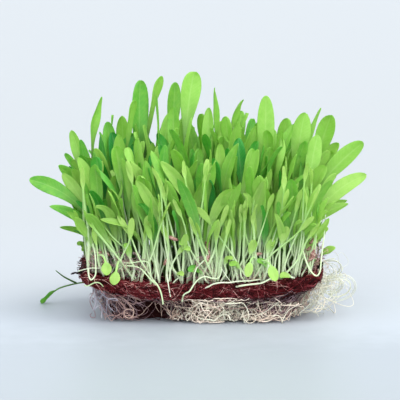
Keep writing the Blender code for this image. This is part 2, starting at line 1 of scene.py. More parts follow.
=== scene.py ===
import math
import random

import bmesh
import bpy
import numpy as np
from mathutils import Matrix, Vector, noise
from mathutils.bvhtree import BVHTree


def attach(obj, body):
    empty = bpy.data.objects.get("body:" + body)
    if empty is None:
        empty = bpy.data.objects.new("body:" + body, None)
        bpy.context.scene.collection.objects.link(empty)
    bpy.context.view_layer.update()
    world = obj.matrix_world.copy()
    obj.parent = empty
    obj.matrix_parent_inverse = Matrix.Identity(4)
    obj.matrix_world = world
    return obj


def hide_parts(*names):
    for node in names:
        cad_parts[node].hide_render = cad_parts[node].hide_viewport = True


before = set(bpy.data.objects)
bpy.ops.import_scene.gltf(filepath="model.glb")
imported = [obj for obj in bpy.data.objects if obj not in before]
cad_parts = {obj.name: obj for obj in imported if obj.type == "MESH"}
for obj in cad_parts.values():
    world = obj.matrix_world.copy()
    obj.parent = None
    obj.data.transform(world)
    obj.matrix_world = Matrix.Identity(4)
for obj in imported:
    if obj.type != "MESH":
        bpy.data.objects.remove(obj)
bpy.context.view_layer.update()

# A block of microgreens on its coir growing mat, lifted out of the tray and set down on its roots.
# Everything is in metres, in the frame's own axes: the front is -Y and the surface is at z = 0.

mm = 0.001
print("frame loaded,", len(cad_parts), "nodes")


# Camera, surface and light

stage = {
    "elevation": 6.35,  # degrees above the surface
    "distance": 0.85,
    "frameWidth": 0.1847,  # what the picture spans at the middle of the block
    "aimHeight": 0.0511,
    "sensorWidth": 36,
    "surfaceSize": 200.0,
    # the surface's colour at each distance behind the middle of the block, in metres: painted light and
    # shade, palest round the block and darker in front of it
    "surface": (
        (-0.20, "#949A9E"), (-0.10, "#969CA2"), (-0.04, "#A4AAB1"), (0.08, "#A0A4A8"), (0.35, "#9EA1A3"),
    ),
    "surfaceReach": 1.0,
    "surfaceGrain": 12 * mm,
    "surfaceContrast": 0.03,
    "surfaceFinish": {"roughness": 0.42, "specular": 0.25},
    "sky": "#E5EEF8",
    "skyStrength": 1.0,
    # each light: where it comes from, its strength, how wide it is in degrees, and its colour
    "lights": {
        "keyLight": ((0.70, 0.05, 1.0), 1.9, 60, "#FFFAF2"),
        "fillLight": ((0.26, -1.0, 0.52), 3.2, 90, "#FFFFFF"),
        "topLight": ((0.15, -0.30, 1.0), 1.9, 150, "#F6FAFF"),
    },
}


def hexColour(code):  # sRGB hex to the linear colour that a shader wants
    channels = [int(code[i : i + 2], 16) / 255 for i in (1, 3, 5)]
    return [c / 12.92 if c <= 0.04045 else ((c + 0.055) / 1.055) ** 2.4 for c in channels] + [1.0]


# Adds a node with its settings and links, and gives one of its outputs. An input is a number, a hex colour
# or the socket that feeds it. Stops are the places and colours of a ramp.
def addNode(tree, kind, inputs, output=0, stops=(), **settings):
    made = tree.nodes.new(kind)
    for name, value in settings.items():
        setattr(made, name, value)
    for name, value in inputs.items():
        if isinstance(value, bpy.types.NodeSocket):
            tree.links.new(value, made.inputs[name])
        else:
            made.inputs[name].default_value = hexColour(value) if isinstance(value, str) else value
    if stops:
        elements = made.color_ramp.elements
        while len(elements) < len(stops):
            elements.new(0.5)
        for element, (place, code) in zip(elements, stops):
            element.position = place
            element.color = hexColour(code)
    return made.outputs[output] if made.outputs else None


def newMaterial(name):
    made = bpy.data.materials.new(name)
    made.use_nodes = True
    made.node_tree.nodes.clear()
    return made, made.node_tree


def meshLayer(tree, name):  # the two numbers that a mesh keeps for this layer
    numbers = addNode(tree, "ShaderNodeUVMap", {}, uv_map=name)
    return addNode(tree, "ShaderNodeSeparateXYZ", {0: numbers}).node.outputs[:2]


def blobs(tree, size, detail=3.0, stretch=(1, 1, 1)):  # noise whose blobs are about size across
    place = addNode(tree, "ShaderNodeTexCoord", {}, "Object")
    scaled = addNode(tree, "ShaderNodeMapping", {0: place, 3: [s / size for s in stretch]})
    return addNode(tree, "ShaderNodeTexNoise", {"Vector": scaled, "Scale": 1.0, "Detail": detail})


def mottled(tree, tone, spots, contrast):  # a tone that spots of noise make darker and lighter
    shift = {0: spots, 1: contrast, 2: -contrast / 2}
    shift = addNode(tree, "ShaderNodeMath", shift, operation="MULTIPLY_ADD")
    return addNode(tree, "ShaderNodeMath", {0: tone, 1: shift}, operation="ADD", use_clamp=True)


# Ends a material with its colour and finish, bumps from a height, and a lit colour where light goes through
def finishMaterial(made, tree, colour, finish, height=None, lit=None):
    surface = {"Base Color": colour, "Roughness": finish["roughness"]}
    surface["Specular IOR Level"] = finish["specular"]
    normal = {}
    if height:
        bumps = {"Height": height, "Distance": finish["bump"], "Strength": finish["bumpStrength"]}
        normal = {"Normal": addNode(tree, "ShaderNodeBump", bumps)}
    shader = addNode(tree, "ShaderNodeBsdfPrincipled", surface | normal)
    if lit:
        through = addNode(tree, "ShaderNodeBsdfTranslucent", {"Color": lit} | normal)
        shader = addNode(tree, "ShaderNodeMixShader", {0: finish["glow"], 1: shader, 2: through})
    addNode(tree, "ShaderNodeOutputMaterial", {0: shader})
    return made


def addObject(name, data):
    made = bpy.data.objects.new(name, data)
    bpy.context.scene.collection.objects.link(made)
    return made


# White laminate table top, satin: a quiet grain, and painted light and shade: palest round the block where
# most light falls, and a painted shadow darker in front of it
def whiteLaminate():
    made, tree = newMaterial("whiteLaminate")
    place = addNode(tree, "ShaderNodeTexCoord", {}, "Object")
    back = addNode(tree, "ShaderNodeSeparateXYZ", {0: place}, 1)
    reach = stage["surfaceReach"]
    share = addNode(tree, "ShaderNodeMath", {0: back, 1: 0.5 / reach, 2: 0.5}, operation="MULTIPLY_ADD")
    share = mottled(tree, share, blobs(tree, stage["surfaceGrain"]), stage["surfaceContrast"])
    stops = [((at / reach + 1) / 2, code) for at, code in stage["surface"]]
    colour = addNode(tree, "ShaderNodeValToRGB", {0: share}, stops=stops)
    return finishMaterial(made, tree, colour, stage["surfaceFinish"])


def addStage():
    scene = bpy.context.scene
    scene.view_settings.view_transform = "Standard"
    tilt = math.radians(stage["elevation"])
    camera = bpy.data.cameras.new("camera")
    camera.sensor_width = stage["sensorWidth"]
    camera.lens = stage["distance"] * camera.sensor_width / stage["frameWidth"]
    scene.camera = addObject("camera", camera)
    aim = Vector((0, 0, stage["aimHeight"]))
    scene.camera.location = aim + stage["distance"] * Vector((0, -math.cos(tilt), math.sin(tilt)))
    scene.camera.rotation_euler = (scene.camera.location - aim).to_track_quat("Z", "Y").to_euler()

    bm = bmesh.new()
    bmesh.ops.create_circle(bm, cap_ends=True, segments=64, radius=stage["surfaceSize"] / 2)
    mesh = bpy.data.meshes.new("surface")
    bm.to_mesh(mesh)
    bm.free()
    mesh.materials.append(whiteLaminate())
    surface = addObject("surface", mesh)

    scene.world = bpy.data.worlds.new("softSky")
    scene.world.use_nodes = True
    sky = scene.world.node_tree.nodes["Background"]
    sky.inputs[0].default_value = hexColour(stage["sky"])
    sky.inputs[1].default_value = stage["skyStrength"]
    for name, (towards, strength, angle, colour) in stage["lights"].items():
        light = bpy.data.lights.new(name, "SUN")
        light.color = hexColour(colour)[:3]
        light.energy = strength
        light.angle = math.radians(angle)
        addObject(name, light).rotation_euler = Vector(towards).to_track_quat("Z", "Y").to_euler()


addStage()
print("camera, surface and light are set")


# Meshes from rings: a part is (grid of points [piece, ring, corner, xyz], {layer: numbers [..., 2]})

def gridMesh(name, parts, material, nodes=()):
    verts, quads, caps, layers = [], [], [], {layer: [] for layer in parts[0][1]}
    base = 0
    for grid, numbers in parts:
        pieces, rings, corners = grid.shape[:3]
        index = base + np.arange(pieces * rings * corners).reshape(pieces, rings, corners)
        after = np.roll(index, -1, axis=2)
        quad = np.stack([index[:, :-1], after[:, :-1], after[:, 1:], index[:, 1:]], axis=-1)
        points = grid.reshape(-1, 3)
        corner = points[quad.reshape(-1, 4) - base]
        normal = np.cross(corner[:, 2] - corner[:, 0], corner[:, 3] - corner[:, 1])
        middle = grid.mean(axis=2, keepdims=True)
        out = (grid - middle)[:, :-1] + (np.roll(grid, -1, axis=2) - middle)[:, :-1]
        ends = [index[:, 0, ::-1], index[:, -1]]
        if (normal * out.reshape(-1, 3)).sum() < 0:
            quad = quad[..., ::-1]
            ends = [end[:, ::-1] for end in ends]
        verts.append(points)
        quads.append(quad.reshape(-1, 4))
        caps += [end[i] for end in ends for i in range(pieces)]
        for layer, found in numbers.items():
            layers[layer].append(found.reshape(-1, 2))
        base += len(points)
    verts = np.concatenate(verts)
    quads = np.concatenate(quads)
    loops = np.concatenate([quads.ravel(), *caps])
    totals = np.concatenate([np.full(len(quads), 4), [len(cap) for cap in caps]])
    starts = np.concatenate([[0], np.cumsum(totals)[:-1]])

    mesh = bpy.data.meshes.new(name)
    mesh.vertices.add(len(verts))
    mesh.vertices.foreach_set("co", verts.astype(np.float32).ravel())
    mesh.loops.add(len(loops))
    mesh.loops.foreach_set("vertex_index", loops.astype(np.int32))
    mesh.polygons.add(len(starts))
    mesh.polygons.foreach_set("loop_start", starts.astype(np.int32))
    mesh.update(calc_edges=True)
    mesh.polygons.foreach_set("use_smooth", np.ones(len(starts), dtype=bool))
    for layer, found in layers.items():
        uv = mesh.uv_layers.new(name=layer)
        uv.uv.foreach_set("vector", np.concatenate(found)[loops].astype(np.float32).ravel())
    mesh.materials.append(material)
    made = addObject(name, mesh)
    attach(made, "root")
    if nodes:
        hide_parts(*nodes)


def unit(vectors):
    return vectors / np.maximum(np.linalg.norm(vectors, axis=-1, keepdims=True), 1e-12)


def tubeGrid(points, radius, sides):
    # points [piece, ring, xyz], radius [piece, ring]; the corners are carried along without twist
    ahead = unit(np.gradient(points, axis=1))
    guess = np.where(np.abs(ahead[:, :1, 2:3]) < 0.8, [[[0.0, 0.0, 1.0]]], [[[1.0, 0.0, 0.0]]])
    side = unit(np.cross(ahead[:, 0], guess[:, 0]))
    turns = math.tau * np.arange(sides) / sides
    rings = []
    for i in range(points.shape[1]):
        side = unit(side - ahead[:, i] * (side * ahead[:, i]).sum(-1, keepdims=True))
        up = np.cross(ahead[:, i], side)
        turned = side[:, None] * np.cos(turns)[None, :, None] + up[:, None] * np.sin(turns)[None, :, None]
        rings.append(points[:, i, None] + turned * radius[:, i, None, None])
    return np.stack(rings, axis=1)


def strandPart(points, radius, tone, sides=3):  # its layer holds a strand's tone and the way along it
    grid = tubeGrid(points, radius, sides)
    along = np.linspace(0, 1, points.shape[1])[None, :, None]
    numbers = np.stack(np.broadcast_arrays(tone[:, None, None], along, grid[..., 0])[:2], axis=-1)
    return grid, {"strand": numbers}


def plainPart(grid, place):  # a part of the leaf material that has one place on the stalk, and no blade
    numbers = np.zeros((*grid.shape[:3], 2))
    return grid, {"leafPlace": numbers + place, "leafTone": numbers}


def smoothLine(points, count):  # a smooth line through given points, resampled to count
    points = np.array([points[0], *points, points[-1]], dtype=float)
    spans = len(points) - 3
    found = []
    for place in np.linspace(0, spans, count):
        i = min(int(place), spans - 1)
        t = place - i
        a, b, c, d = points[i : i + 4]
        found.append(
            0.5 * (2 * b + (c - a) * t + (2 * a - 5 * b + 4 * c - d) * t**2 + (3 * b - a - 3 * c + d) * t**3)
        )
    return np.array(found)


def powered(value, power):
    return np.sign(value) * np.abs(value) ** power


def ripple(points, size, seed, waves=9):  # a smooth swell from about -1 to 1, with waves about size long
    rng = np.random.default_rng(seed)
    found = 0
    for _ in range(waves):
        way = unit(rng.normal(size=3)) / (size * rng.uniform(0.7, 1.5))
        found = found + np.sin(math.tau * (points @ way) + rng.uniform(0, math.tau))
    return found / math.sqrt(waves)


outlineSteps = 1200


def roundSquare(square):  # a closed line round a square from -1 to 1, the squarer the higher the number
    turns = np.linspace(0, math.tau, outlineSteps + 1)
    return np.stack([powered(np.cos(turns), 2 / square), powered(np.sin(turns), 2 / square)], axis=-1)


def lengthsRound(points):  # how far round a closed line each of its points is
    steps = np.linalg.norm(np.diff(points, axis=0), axis=1)
    return np.concatenate([[0.0], np.cumsum(steps)])


def placesRound(lengths, around, outline):  # the places on a closed outline that are these lengths round it
    return [np.interp(lengths % around[-1], around, outline[:, axis]) for axis in (0, 1)]


def closedPart(grid):  # one closed body, whose strand layer stays empty
    return [(grid[None], {"strand": np.zeros((1, *grid.shape[:2], 2))})]


# The growing mat's own form, and where the clumps stand in it

bed = {
    "length": 0.110,
    "depth": 0.080,
    "thickness": 0.0068,
    "lift": 0.0110,
    "leftCurl": 0.0080,
    "rightCurl": 0.0065,
    "endThinning": 0.25,
    "relief": 0.0007,
}

clumps = {
    "seed": 20,
    "rows": 6,
    "inRow": 8,
    "margin": 0.0072,
    "stagger": 0.25,  # how far every other row is shifted, as a share of the step
    "narrowing": 0.05,
    "jitter": 0.0016,
    "crownTopRadius": 0.0013,
    "crownRise": 0.0026,
    "leaves": 5,
    "leavesInside": 4,
    "inside": 0.60,
    "tries": 60,
}


def matBottom(x):
    end = min(1.0, abs(x) / (bed["length"] / 2))
    curl = bed["leftCurl"] if x < 0 else bed["rightCurl"]
    return bed["lift"] + curl * end**3


def matTop(x):
    end = min(1.0, abs(x) / (bed["length"] / 2))
    return matBottom(x) + bed["thickness"] * (1 - bed["endThinning"] * end**4)


def clumpPlaces(rng):
    places = []
    for row in range(clumps["rows"]):
        v = 2 * row / (clumps["rows"] - 1) - 1
        y = v * (bed["depth"] / 2 - clumps["margin"])
        for number in range(clumps["inRow"]):
            stagger = clumps["stagger"] if row % 2 else -clumps["stagger"]
            u = (2 * (number + 0.5 + stagger) / clumps["inRow"]) - 1
            x = u * (bed["length"] / 2 - clumps["margin"] / 2) * (1 - clumps["narrowing"] * v * v)
            shift = Vector([rng.uniform(-clumps["jitter"], clumps["jitter"]) for _ in range(2)])
            places.append(Vector((x + shift.x, y + shift.y, matTop(x + shift.x))))
    return places


# Leaves: the rule that placed the solids' leaves, with the same draws, so each fine leaf lies in its solid

canopy = {
    "height": 0.092,
    "drop": 0.024,
    "reach": 0.068,
    "frontDrop": 0.024,
    "backDrop": 0.014,
    "halfDepth": 0.048,
    "mostSide": 1.15,
    "lowestTip": 0.020,
    "fan": 1.20,
    "fanBelow": 0.35,
    "tipScatter": 0.0068,
    "levels": (1.0, 0.93, 0.86, 0.79, 0.72),
    "levelScatter": 0.07,
    "droop": (0.1, 0.8),
    "turn": 90,
}

leafForm = {
    "bladeLength": (0.021, 0.030),
    "halfWidth": (0.0029, 0.0040),
    "petioleHalfWidth": 0.00062,
    "lowWidth": 0.66,
    "lowBlade": 0.66,
    "mostBlade": 0.85,
    "widest": 0.32,
    "bladePoints": (0.66, 0.27, 0.035),
    "keel": 0.00085,
    "rootOut": (0.2, 0.8),
    "rootUp": 0.35,
    "riseOut": (0.30, -0.20),
    "riseUp": (0.52, 0.40),
    "faceTilt": 0.25,
    "mostAlong": 0.9,  # how far a leaf's face may point along its own line
    "clearance": 0.00030,
    "matClearance": 0.0025,
    "matSteps": 6,
    "freeFrom": 0.2,
    "calm": 0.35,  # how much of the random bending a listed leaf gets
}

# Leaves placed one by one, most of them at the outline: the root's x, the tip's x, y and z, the half width,
# the face's turn and the droop
skyline = (
    (-0.050, -0.0485, -0.006, 0.0990, 0.0023, 40, 0.4),
    (-0.050, -0.0600, 0.002, 0.0830, 0.0025, -20, 0.5),
    (-0.046, -0.0430, -0.004, 0.0875, 0.0029, 25, 0.3),
    (-0.040, -0.0415, 0.010, 0.0900, 0.0019, 70, 0.1),
    (-0.038, -0.0365, 0.016, 0.0890, 0.0029, 0, 0.2),
    (-0.037, -0.0300, -0.008, 0.0980, 0.0020, 50, 0.4),
    (-0.027, -0.0270, 0.006, 0.1060, 0.0039, 5, 0.1),
    (-0.026, -0.0180, 0.014, 0.1080, 0.0022, 50, 0.5),
    (-0.018, -0.0185, -0.002, 0.1000, 0.0018, -60, 0.1),
    (-0.013, -0.0110, 0.009, 0.1050, 0.0029, 0, 0.2),
    (-0.014, -0.0020, -0.002, 0.1105, 0.0043, 10, 0.6),
    (-0.014, -0.0130, -0.013, 0.0945, 0.0026, -10, 0.2),
    (0.000, 0.0025, -0.006, 0.0940, 0.0025, 0, 0.2),
    (0.009, 0.0075, 0.004, 0.1030, 0.0018, 55, 0.1),
    (0.009, 0.0195, 0.012, 0.0975, 0.0018, 60, 0.7),
    (0.016, 0.0200, 0.016, 0.0910, 0.0025, 10, 0.4),
    (0.017, 0.0115, -0.004, 0.0905, 0.0025, -20, 0.4),
    (0.030, 0.0315, -0.002, 0.0995, 0.0037, 5, 0.1),
    (0.026, 0.0265, 0.010, 0.0875, 0.0028, 20, 0.2),
    (0.036, 0.0400, 0.004, 0.0885, 0.0030, 15, 0.5),
    (0.042, 0.0485, -0.004, 0.0915, 0.0041, 10, 0.5),
    (0.050, 0.0525, 0.014, 0.0900, 0.0020, 50, 0.3),
    (0.050, 0.0560, 0.020, 0.0930, 0.0020, 50, 0.3),
    (0.050, 0.0600, -0.002, 0.0900, 0.0038, -5, 0.4),
    (0.047, 0.0530, -0.016, 0.0820, 0.0033, 10, 0.4),
    (0.050, 0.0645, 0.008, 0.0765, 0.0029, 10, 0.4),
    (0.050, 0.0740, -0.004, 0.0790, 0.0038, -5, 0.4),
    (0.050, 0.0755, -0.018, 0.0635, 0.0034, -15, 0.8),
    (0.050, 0.0690, 0.010, 0.0485, 0.0021, 20, 0.8),
    (0.050, 0.0680, -0.012, 0.0490, 0.0027, -10, 0.8),
    (-0.050, -0.0765, -0.018, 0.0635, 0.0035, 20, 0.75),
    (-0.050, -0.0660, -0.006, 0.0665, 0.0028, 0, 0.6),
    (-0.050, -0.0630, 0.010, 0.0715, 0.0023, 30, 0.4),
    (-0.050, -0.0670, -0.024, 0.0515, 0.0027, 15, 0.8),
    (-0.050, -0.0655, 0.004, 0.0370, 0.0021, 0, 0.9),
    (-0.042, -0.0480, -0.038, 0.0700, 0.0028, -20, 0.6),
    (-0.030, -0.0375, -0.034, 0.0780, 0.0029, 10, 0.6),
    (-0.017, -0.0255, -0.042, 0.0655, 0.0035, -10, 0.7),
)
skylinePlay = {"tip": 0.007, "turn": 10, "perClump": 2}
skylineBends = {0.0990: 0.0050}  # for the leaf with this tip height: how far its blade bends to its side

# Seed leaves over the mat's front edge: where each tip ends, its half width and its blade's length
frontSeedLeaves = (
    (-0.0425, -0.0465, 0.0230, 0.0023, 0.0060),
    (-0.0382, -0.0480, 0.0190, 0.0024, 0.0060),
    (-0.0228, -0.0450, 0.0285, 0.0018, 0.0100),
    (-0.0058, -0.0470, 0.0262, 0.0022, 0.0075),
    (0.0225, -0.0475, 0.0225, 0.0019, 0.0066),
    (0.0305, -0.0480, 0.0205, 0.0023, 0.0075),
)
seedForm = {
    "keel": 0.0008,
    "rise": 0.017,
    "riseBack": 0.004,
    "riseOut": 0.65,
    "play": 0.002,
    "face": (0.1, -1.0, 0.5),
}


def spine(leaf, s):
    return leaf["root"] * (1 - s) ** 2 + leaf["rise"] * (2 * s * (1 - s)) + leaf["tip"] * s**2


def heading(leaf, s):
    return ((leaf["rise"] - leaf["root"]) * (1 - s) + (leaf["tip"] - leaf["rise"]) * s).normalized()


def bladeShare(leaf, t):
    length = ((leaf["rise"] - leaf["root"]).length + (leaf["tip"] - leaf["root"]).length) / 2
    return 1 - t * min(leafForm["mostBlade"], leaf["blade"] / length)


def halfWidth(leaf, t):
    widest, petiole = leafForm["widest"], leafForm["petioleHalfWidth"]
    if t < widest:
        return leaf["halfWidth"] * math.sqrt(1 - (1 - t / widest) ** 2)
    share = 0.5 * (1 + math.cos(math.pi * (t - widest) / (1 - widest)))
    return petiole + (leaf["halfWidth"] - petiole) * share


def ring(leaf, s, t, grow):
    centre, ahead = spine(leaf, s), heading(leaf, s)
    up = (leaf["face"] - ahead * leaf["face"].dot(ahead)).normalized()
    side = ahead.cross(up) * (halfWidth(leaf, t) + grow)
    return [centre - side + up * grow, centre + side + up * grow, centre - up * (leaf["keel"] + grow)]


def leafRings(leaf, grow=0.0, fromShare=0.0):
    start = bladeShare(leaf, 1.0)
    shares = [(0.0, 1.0), (start / 2, 1.0), (start, 1.0)]
    shares += [(bladeShare(leaf, t), t) for t in leafForm["bladePoints"]]
    return [ring(leaf, s, t, grow) for s, t in shares if s >= fromShare]


def treeOf(rings):
    corners = [corner for corners in rings for corner in corners]
    faces = []
    for level in range(len(rings) - 1):
        for i in range(3):
            j = (i + 1) % 3
            a, b = 3 * level + i, 3 * level + j
            faces += [(a, b, b + 3), (a, b + 3, a + 3)]
    faces += [(0, 2, 1), tuple(len(corners) - 3 + i for i in range(3))]
    return BVHTree.FromPolygons(corners, faces)


def facesAlong(leaf):
    return all(abs(leaf["face"].dot(heading(leaf, s))) < leafForm["mostAlong"] for s in (0, 0.5, 1))


def canopyHeight(x, y):
    side = min(canopy["mostSide"], abs(x) / canopy["reach"])
    front = min(1.0, abs(y) / canopy["halfDepth"])
    across = canopy["frontDrop" if y < 0 else "backDrop"] * front**2
    return canopy["height"] - canopy["drop"] * side**3 - across


def leafRoot(place, rng):
    angle, far = rng.uniform(0, math.tau), rng.uniform(*leafForm["rootOut"]) * clumps["crownTopRadius"]
    up = clumps["crownRise"] * leafForm["rootUp"]
    return place + Vector((far * math.cos(angle), far * math.sin(angle), up))


def leafTo(root, tip, rng, width, turn, droop):
    reach = tip - root
    out = leafForm["riseOut"][0] + leafForm["riseOut"][1] * droop
    up = leafForm["riseUp"][0] + leafForm["riseUp"][1] * droop
    turn = math.radians(turn)
    low = leafForm["lowBlade"]
    return {
        "root": root,
        "rise": root + Vector((reach.x * out, reach.y * out, reach.z * up)),
        "tip": tip,
        "halfWidth": width,
        "blade": rng.uniform(*leafForm["bladeLength"]) * (low + (1 - low) * width / leafForm["halfWidth"][1]),
        "keel": leafForm["keel"],
        "face": Vector((math.sin(turn), -math.cos(turn), leafForm["faceTilt"])).normalized(),
    }


def drawnLeaf(place, level, rng):
    x = place.x * canopy["fan"] + rng.gauss(0, canopy["tipScatter"])
    y = place.y * canopy["fan"] + rng.gauss(0, canopy["tipScatter"])
    share = min(1.0, level * rng.uniform(1 - canopy["levelScatter"], 1 + canopy["levelScatter"]))
    fan = canopy["fanBelow"] + (1 - canopy["fanBelow"]) * share
    tip = Vector((x * fan + place.x * (1 - fan), y * fan + place.y * (1 - fan), 0))
    tip.z = max(place.z + canopy["lowestTip"], canopyHeight(tip.x, tip.y) * share)
    width = rng.uniform(*leafForm["halfWidth"]) * (leafForm["lowWidth"] + (1 - leafForm["lowWidth"]) * share)
    lean = min(1.0, 2 * math.hypot(place.x / bed["length"], place.y / bed["depth"]))
    turn = rng.uniform(-canopy["turn"], canopy["turn"])
    droop = lean * rng.uniform(*canopy["droop"])
    return leafTo(leafRoot(place, rng), tip, rng, width, turn, droop)


def seedLeaf(place, tip, width, blade, rng):
    root = leafRoot(place, rng)
    x = place.x + (tip.x - place.x) * seedForm["riseOut"]
    return {
        "root": root,
        "rise": Vector((x, tip.y + seedForm["riseBack"], max(root.z, tip.z) + seedForm["rise"])),
        "tip": tip,
        "halfWidth": width,
        "blade": blade,
        "keel": seedForm["keel"],
        "face": Vector(seedForm["face"]).normalized(),
    }


def inMat(place):
    margin = leafForm["matClearance"]
    beside = abs(place.x) > bed["length"] / 2 + margin or abs(place.y) > bed["depth"] / 2 + margin
    above = place.z > matTop(place.x) + bed["relief"] + leafForm["clearance"]
    below = place.z < matBottom(place.x) - leafForm["clearance"]
    return not (beside or above or below)


def meetsMat(rings):
    steps = leafForm["matSteps"]
    for first, second in zip(rings[1:], rings[2:]):
        for step in range(steps + 1):
            if any(inMat(a.lerp(b, step / steps)) for a, b in zip(first, second)):
                return True
    return False


def boxOf(rings):
    corners = np.array([corner for corners in rings for corner in corners])
    return corners.min(axis=0), corners.max(axis=0)


class Growth:  # the leaves placed so far; a new one keeps clear of them
    def __init__(self, places):
        self.places = places
        self.leaves = [[] for _ in places]
        self.trees = []  # (clump, whole tree, tree past freeFrom)
        self.low = np.empty((0, 3))
        self.high = np.empty((0, 3))

    def treesOf(self, leaf, grow):
        return treeOf(leafRings(leaf, grow)), treeOf(leafRings(leaf, grow, leafForm["freeFrom"]))

    def clear(self, clump, leaf, grow):
        rings = leafRings(leaf, grow)
        if not facesAlong(leaf) or meetsMat(rings):
            return False
        low, high = boxOf(rings)
        near = np.nonzero(((self.low <= high) & (self.high >= low)).all(axis=1))[0]
        tree, upper = self.treesOf(leaf, grow)
        for i in near:
            other, whole, above = self.trees[i]
            if upper.overlap(above) if other == clump else tree.overlap(whole):
                return False
        return True

    def tryToAdd(self, clump, draw, tries=clumps["tries"], grow=leafForm["clearance"]):
        for _ in range(tries):
            leaf = draw()
            if self.clear(clump, leaf, grow):
                self.leaves[clump].append(leaf)
                self.trees.append((clump, *self.treesOf(leaf, grow)))
                low, high = boxOf(leafRings(leaf, grow))
                self.low = np.vstack([self.low, low])
                self.high = np.vstack([self.high, high])
                return True
        return False


def nearestClump(growth, x, y, most):
    free = [i for i, leaves in enumerate(growth.leaves) if len(leaves) < most]
    target = Vector((x, y / canopy["fan"]))
    return min(free, key=lambda i: (growth.places[i].xy - target).length)


def leavesAt(place):
    inside = (
        abs(place.x) < clumps["inside"] * bed["length"] / 2
        and abs(place.y) < clumps["inside"] * bed["depth"] / 2
    )
    return clumps["leavesInside"] if inside else clumps["leaves"]


def growSolidsLeaves(rng):
    places = clumpPlaces(rng)
    growth = Growth(places)
    play, turning = skylinePlay["tip"], skylinePlay["turn"]
    for foot, x, y, z, width, turn, droop in skyline:
        clump = nearestClump(growth, foot, y, skylinePlay["perClump"])
        root = leafRoot(places[clump], rng)
        extras = {"calm": leafForm["calm"], "bend": skylineBends.get(z, 0.0)}

        def draw():
            tip = Vector((x, y + rng.uniform(-play, play), z))
            turned = turn + rng.uniform(-turning, turning)
            return leafTo(root, tip, rng, width, turned, droop) | extras

        growth.tryToAdd(clump, draw)
    near = seedForm["play"]
    for x, y, z, width, blade in frontSeedLeaves:
        clump = min(range(clumps["inRow"]), key=lambda i: abs(places[i].x - x))
        growth.tryToAdd(
            clump,
            lambda: seedLeaf(places[clump], Vector((x + rng.uniform(-near, near), y, z)), width, blade, rng),
        )
    for level in canopy["levels"]:
        for clump, place in enumerate(places):
            if len(growth.leaves[clump]) < leavesAt(place):
                growth.tryToAdd(clump, lambda: drawnLeaf(place, level, rng))
    return growth


# More leaves and stalks between those of the solids, down to short ones that fill the bed

filling = {
    "seed": 11,
    "perClump": 8,
    "tries": 14,
    "levels": (0.58, 0.96),
    "frontLevels": (0.76, 0.98),  # in the first row, where the stalks show
    "frontRow": -0.028,
    "lowestTip": 0.010,
    "tipScatter": 0.0072,
    "rootSpread": 0.0013,
    "rootDepth": 0.0004,  # how deep in the mat a stalk starts
    "mostRoot": (0.0515, 0.0375),  # how far out a stalk may start, along the mat and across it
    "bunch": 0.0034,  # how far to the side of a clump its two smaller bunches stand
    "mostY": 0.049,
    # how far out a leaf may end at the height sideFrom, and how much further it may for each metre above
    "sideReach": 0.052,
    "sideFrom": 0.035,
    "sideGain": 0.40,
    "lowWidth": 0.22,
    "widthGain": 0.70,
    "innerLean": 0.35,
    "overlap": -0.00035,  # leaves may just touch
}


def within(value, most):
    return min(most, max(-most, value))


def fillingLeaf(place, rng):
    spread, scatter = filling["rootSpread"], filling["tipScatter"]
    beside = rng.choice((-1, 1)) * filling["bunch"]
    x = within(place.x + beside + rng.uniform(-spread, spread), filling["mostRoot"][0])
    y = within(place.y + rng.uniform(-spread, spread), filling["mostRoot"][1])
    root = Vector((x, y, matTop(x) - filling["rootDepth"]))
    share = rng.uniform(*filling["frontLevels" if y < filling["frontRow"] else "levels"])
    fan = 1 + (canopy["fan"] - 1) * (canopy["fanBelow"] + (1 - canopy["fanBelow"]) * share)
    tip = Vector((x * fan + rng.gauss(0, scatter), y * fan + rng.gauss(0, scatter), 0))
    tip.y = within(tip.y, filling["mostY"])
    tip.z = max(root.z + filling["lowestTip"], canopyHeight(tip.x, tip.y) * share)
    tip.x = within(tip.x, filling["sideReach"] + filling["sideGain"] * max(0.0, tip.z - filling["sideFrom"]))
    width = rng.uniform(*leafForm["halfWidth"]) * (filling["lowWidth"] + filling["widthGain"] * share)
    far = min(1.0, 2 * math.hypot(x / bed["length"], y / bed["depth"]))
    lean = filling["innerLean"] + (1 - filling["innerLean"]) * far
    turn = rng.uniform(-canopy["turn"], canopy["turn"])
    return leafTo(root, tip, rng, width, turn, lean * rng.uniform(*canopy["droop"]))


growth = growSolidsLeaves(random.Random(clumps["seed"]))
solidLeafCount = sum(len(found) for found in growth.leaves)
fillRng = random.Random(filling["seed"])
for turn in range(filling["perClump"]):
    for clump, place in enumerate(growth.places):
        growth.tryToAdd(clump, lambda: fillingLeaf(place, fillRng), filling["tries"], filling["overlap"])


# Thin young stalks round the bed's edge, each with a narrow blade that ends inside the canopy

youngStalks = {
    "seed": 5,
    "count": 380,
    "height": (0.046, 0.074),
    "halfWidth": (0.0009, 0.0016),
    "blade": (0.0085, 0.012),
    "fan": (1.04, 1.16),  # how far the tips stand out, along the mat and across it
    "lean": (0.0125, 0.003),
    "turn": 60,
    "droop": 0.3,
    "rise": (0.4, 0.6),
    "every": 0.0070,  # the distance between bunches along the front
    "bunches": 7,  # to each side of the middle
    "front": (-0.0372, -0.0345),
    # where the draw turns from the front to the left end, to the right end and to the back
    "turns": (0.64, 0.77, 0.90),
    "ends": ((0.044, 0.0515), (-0.036, 0.036)),
    "back": ((-0.051, 0.051), (0.031, 0.0375)),
}


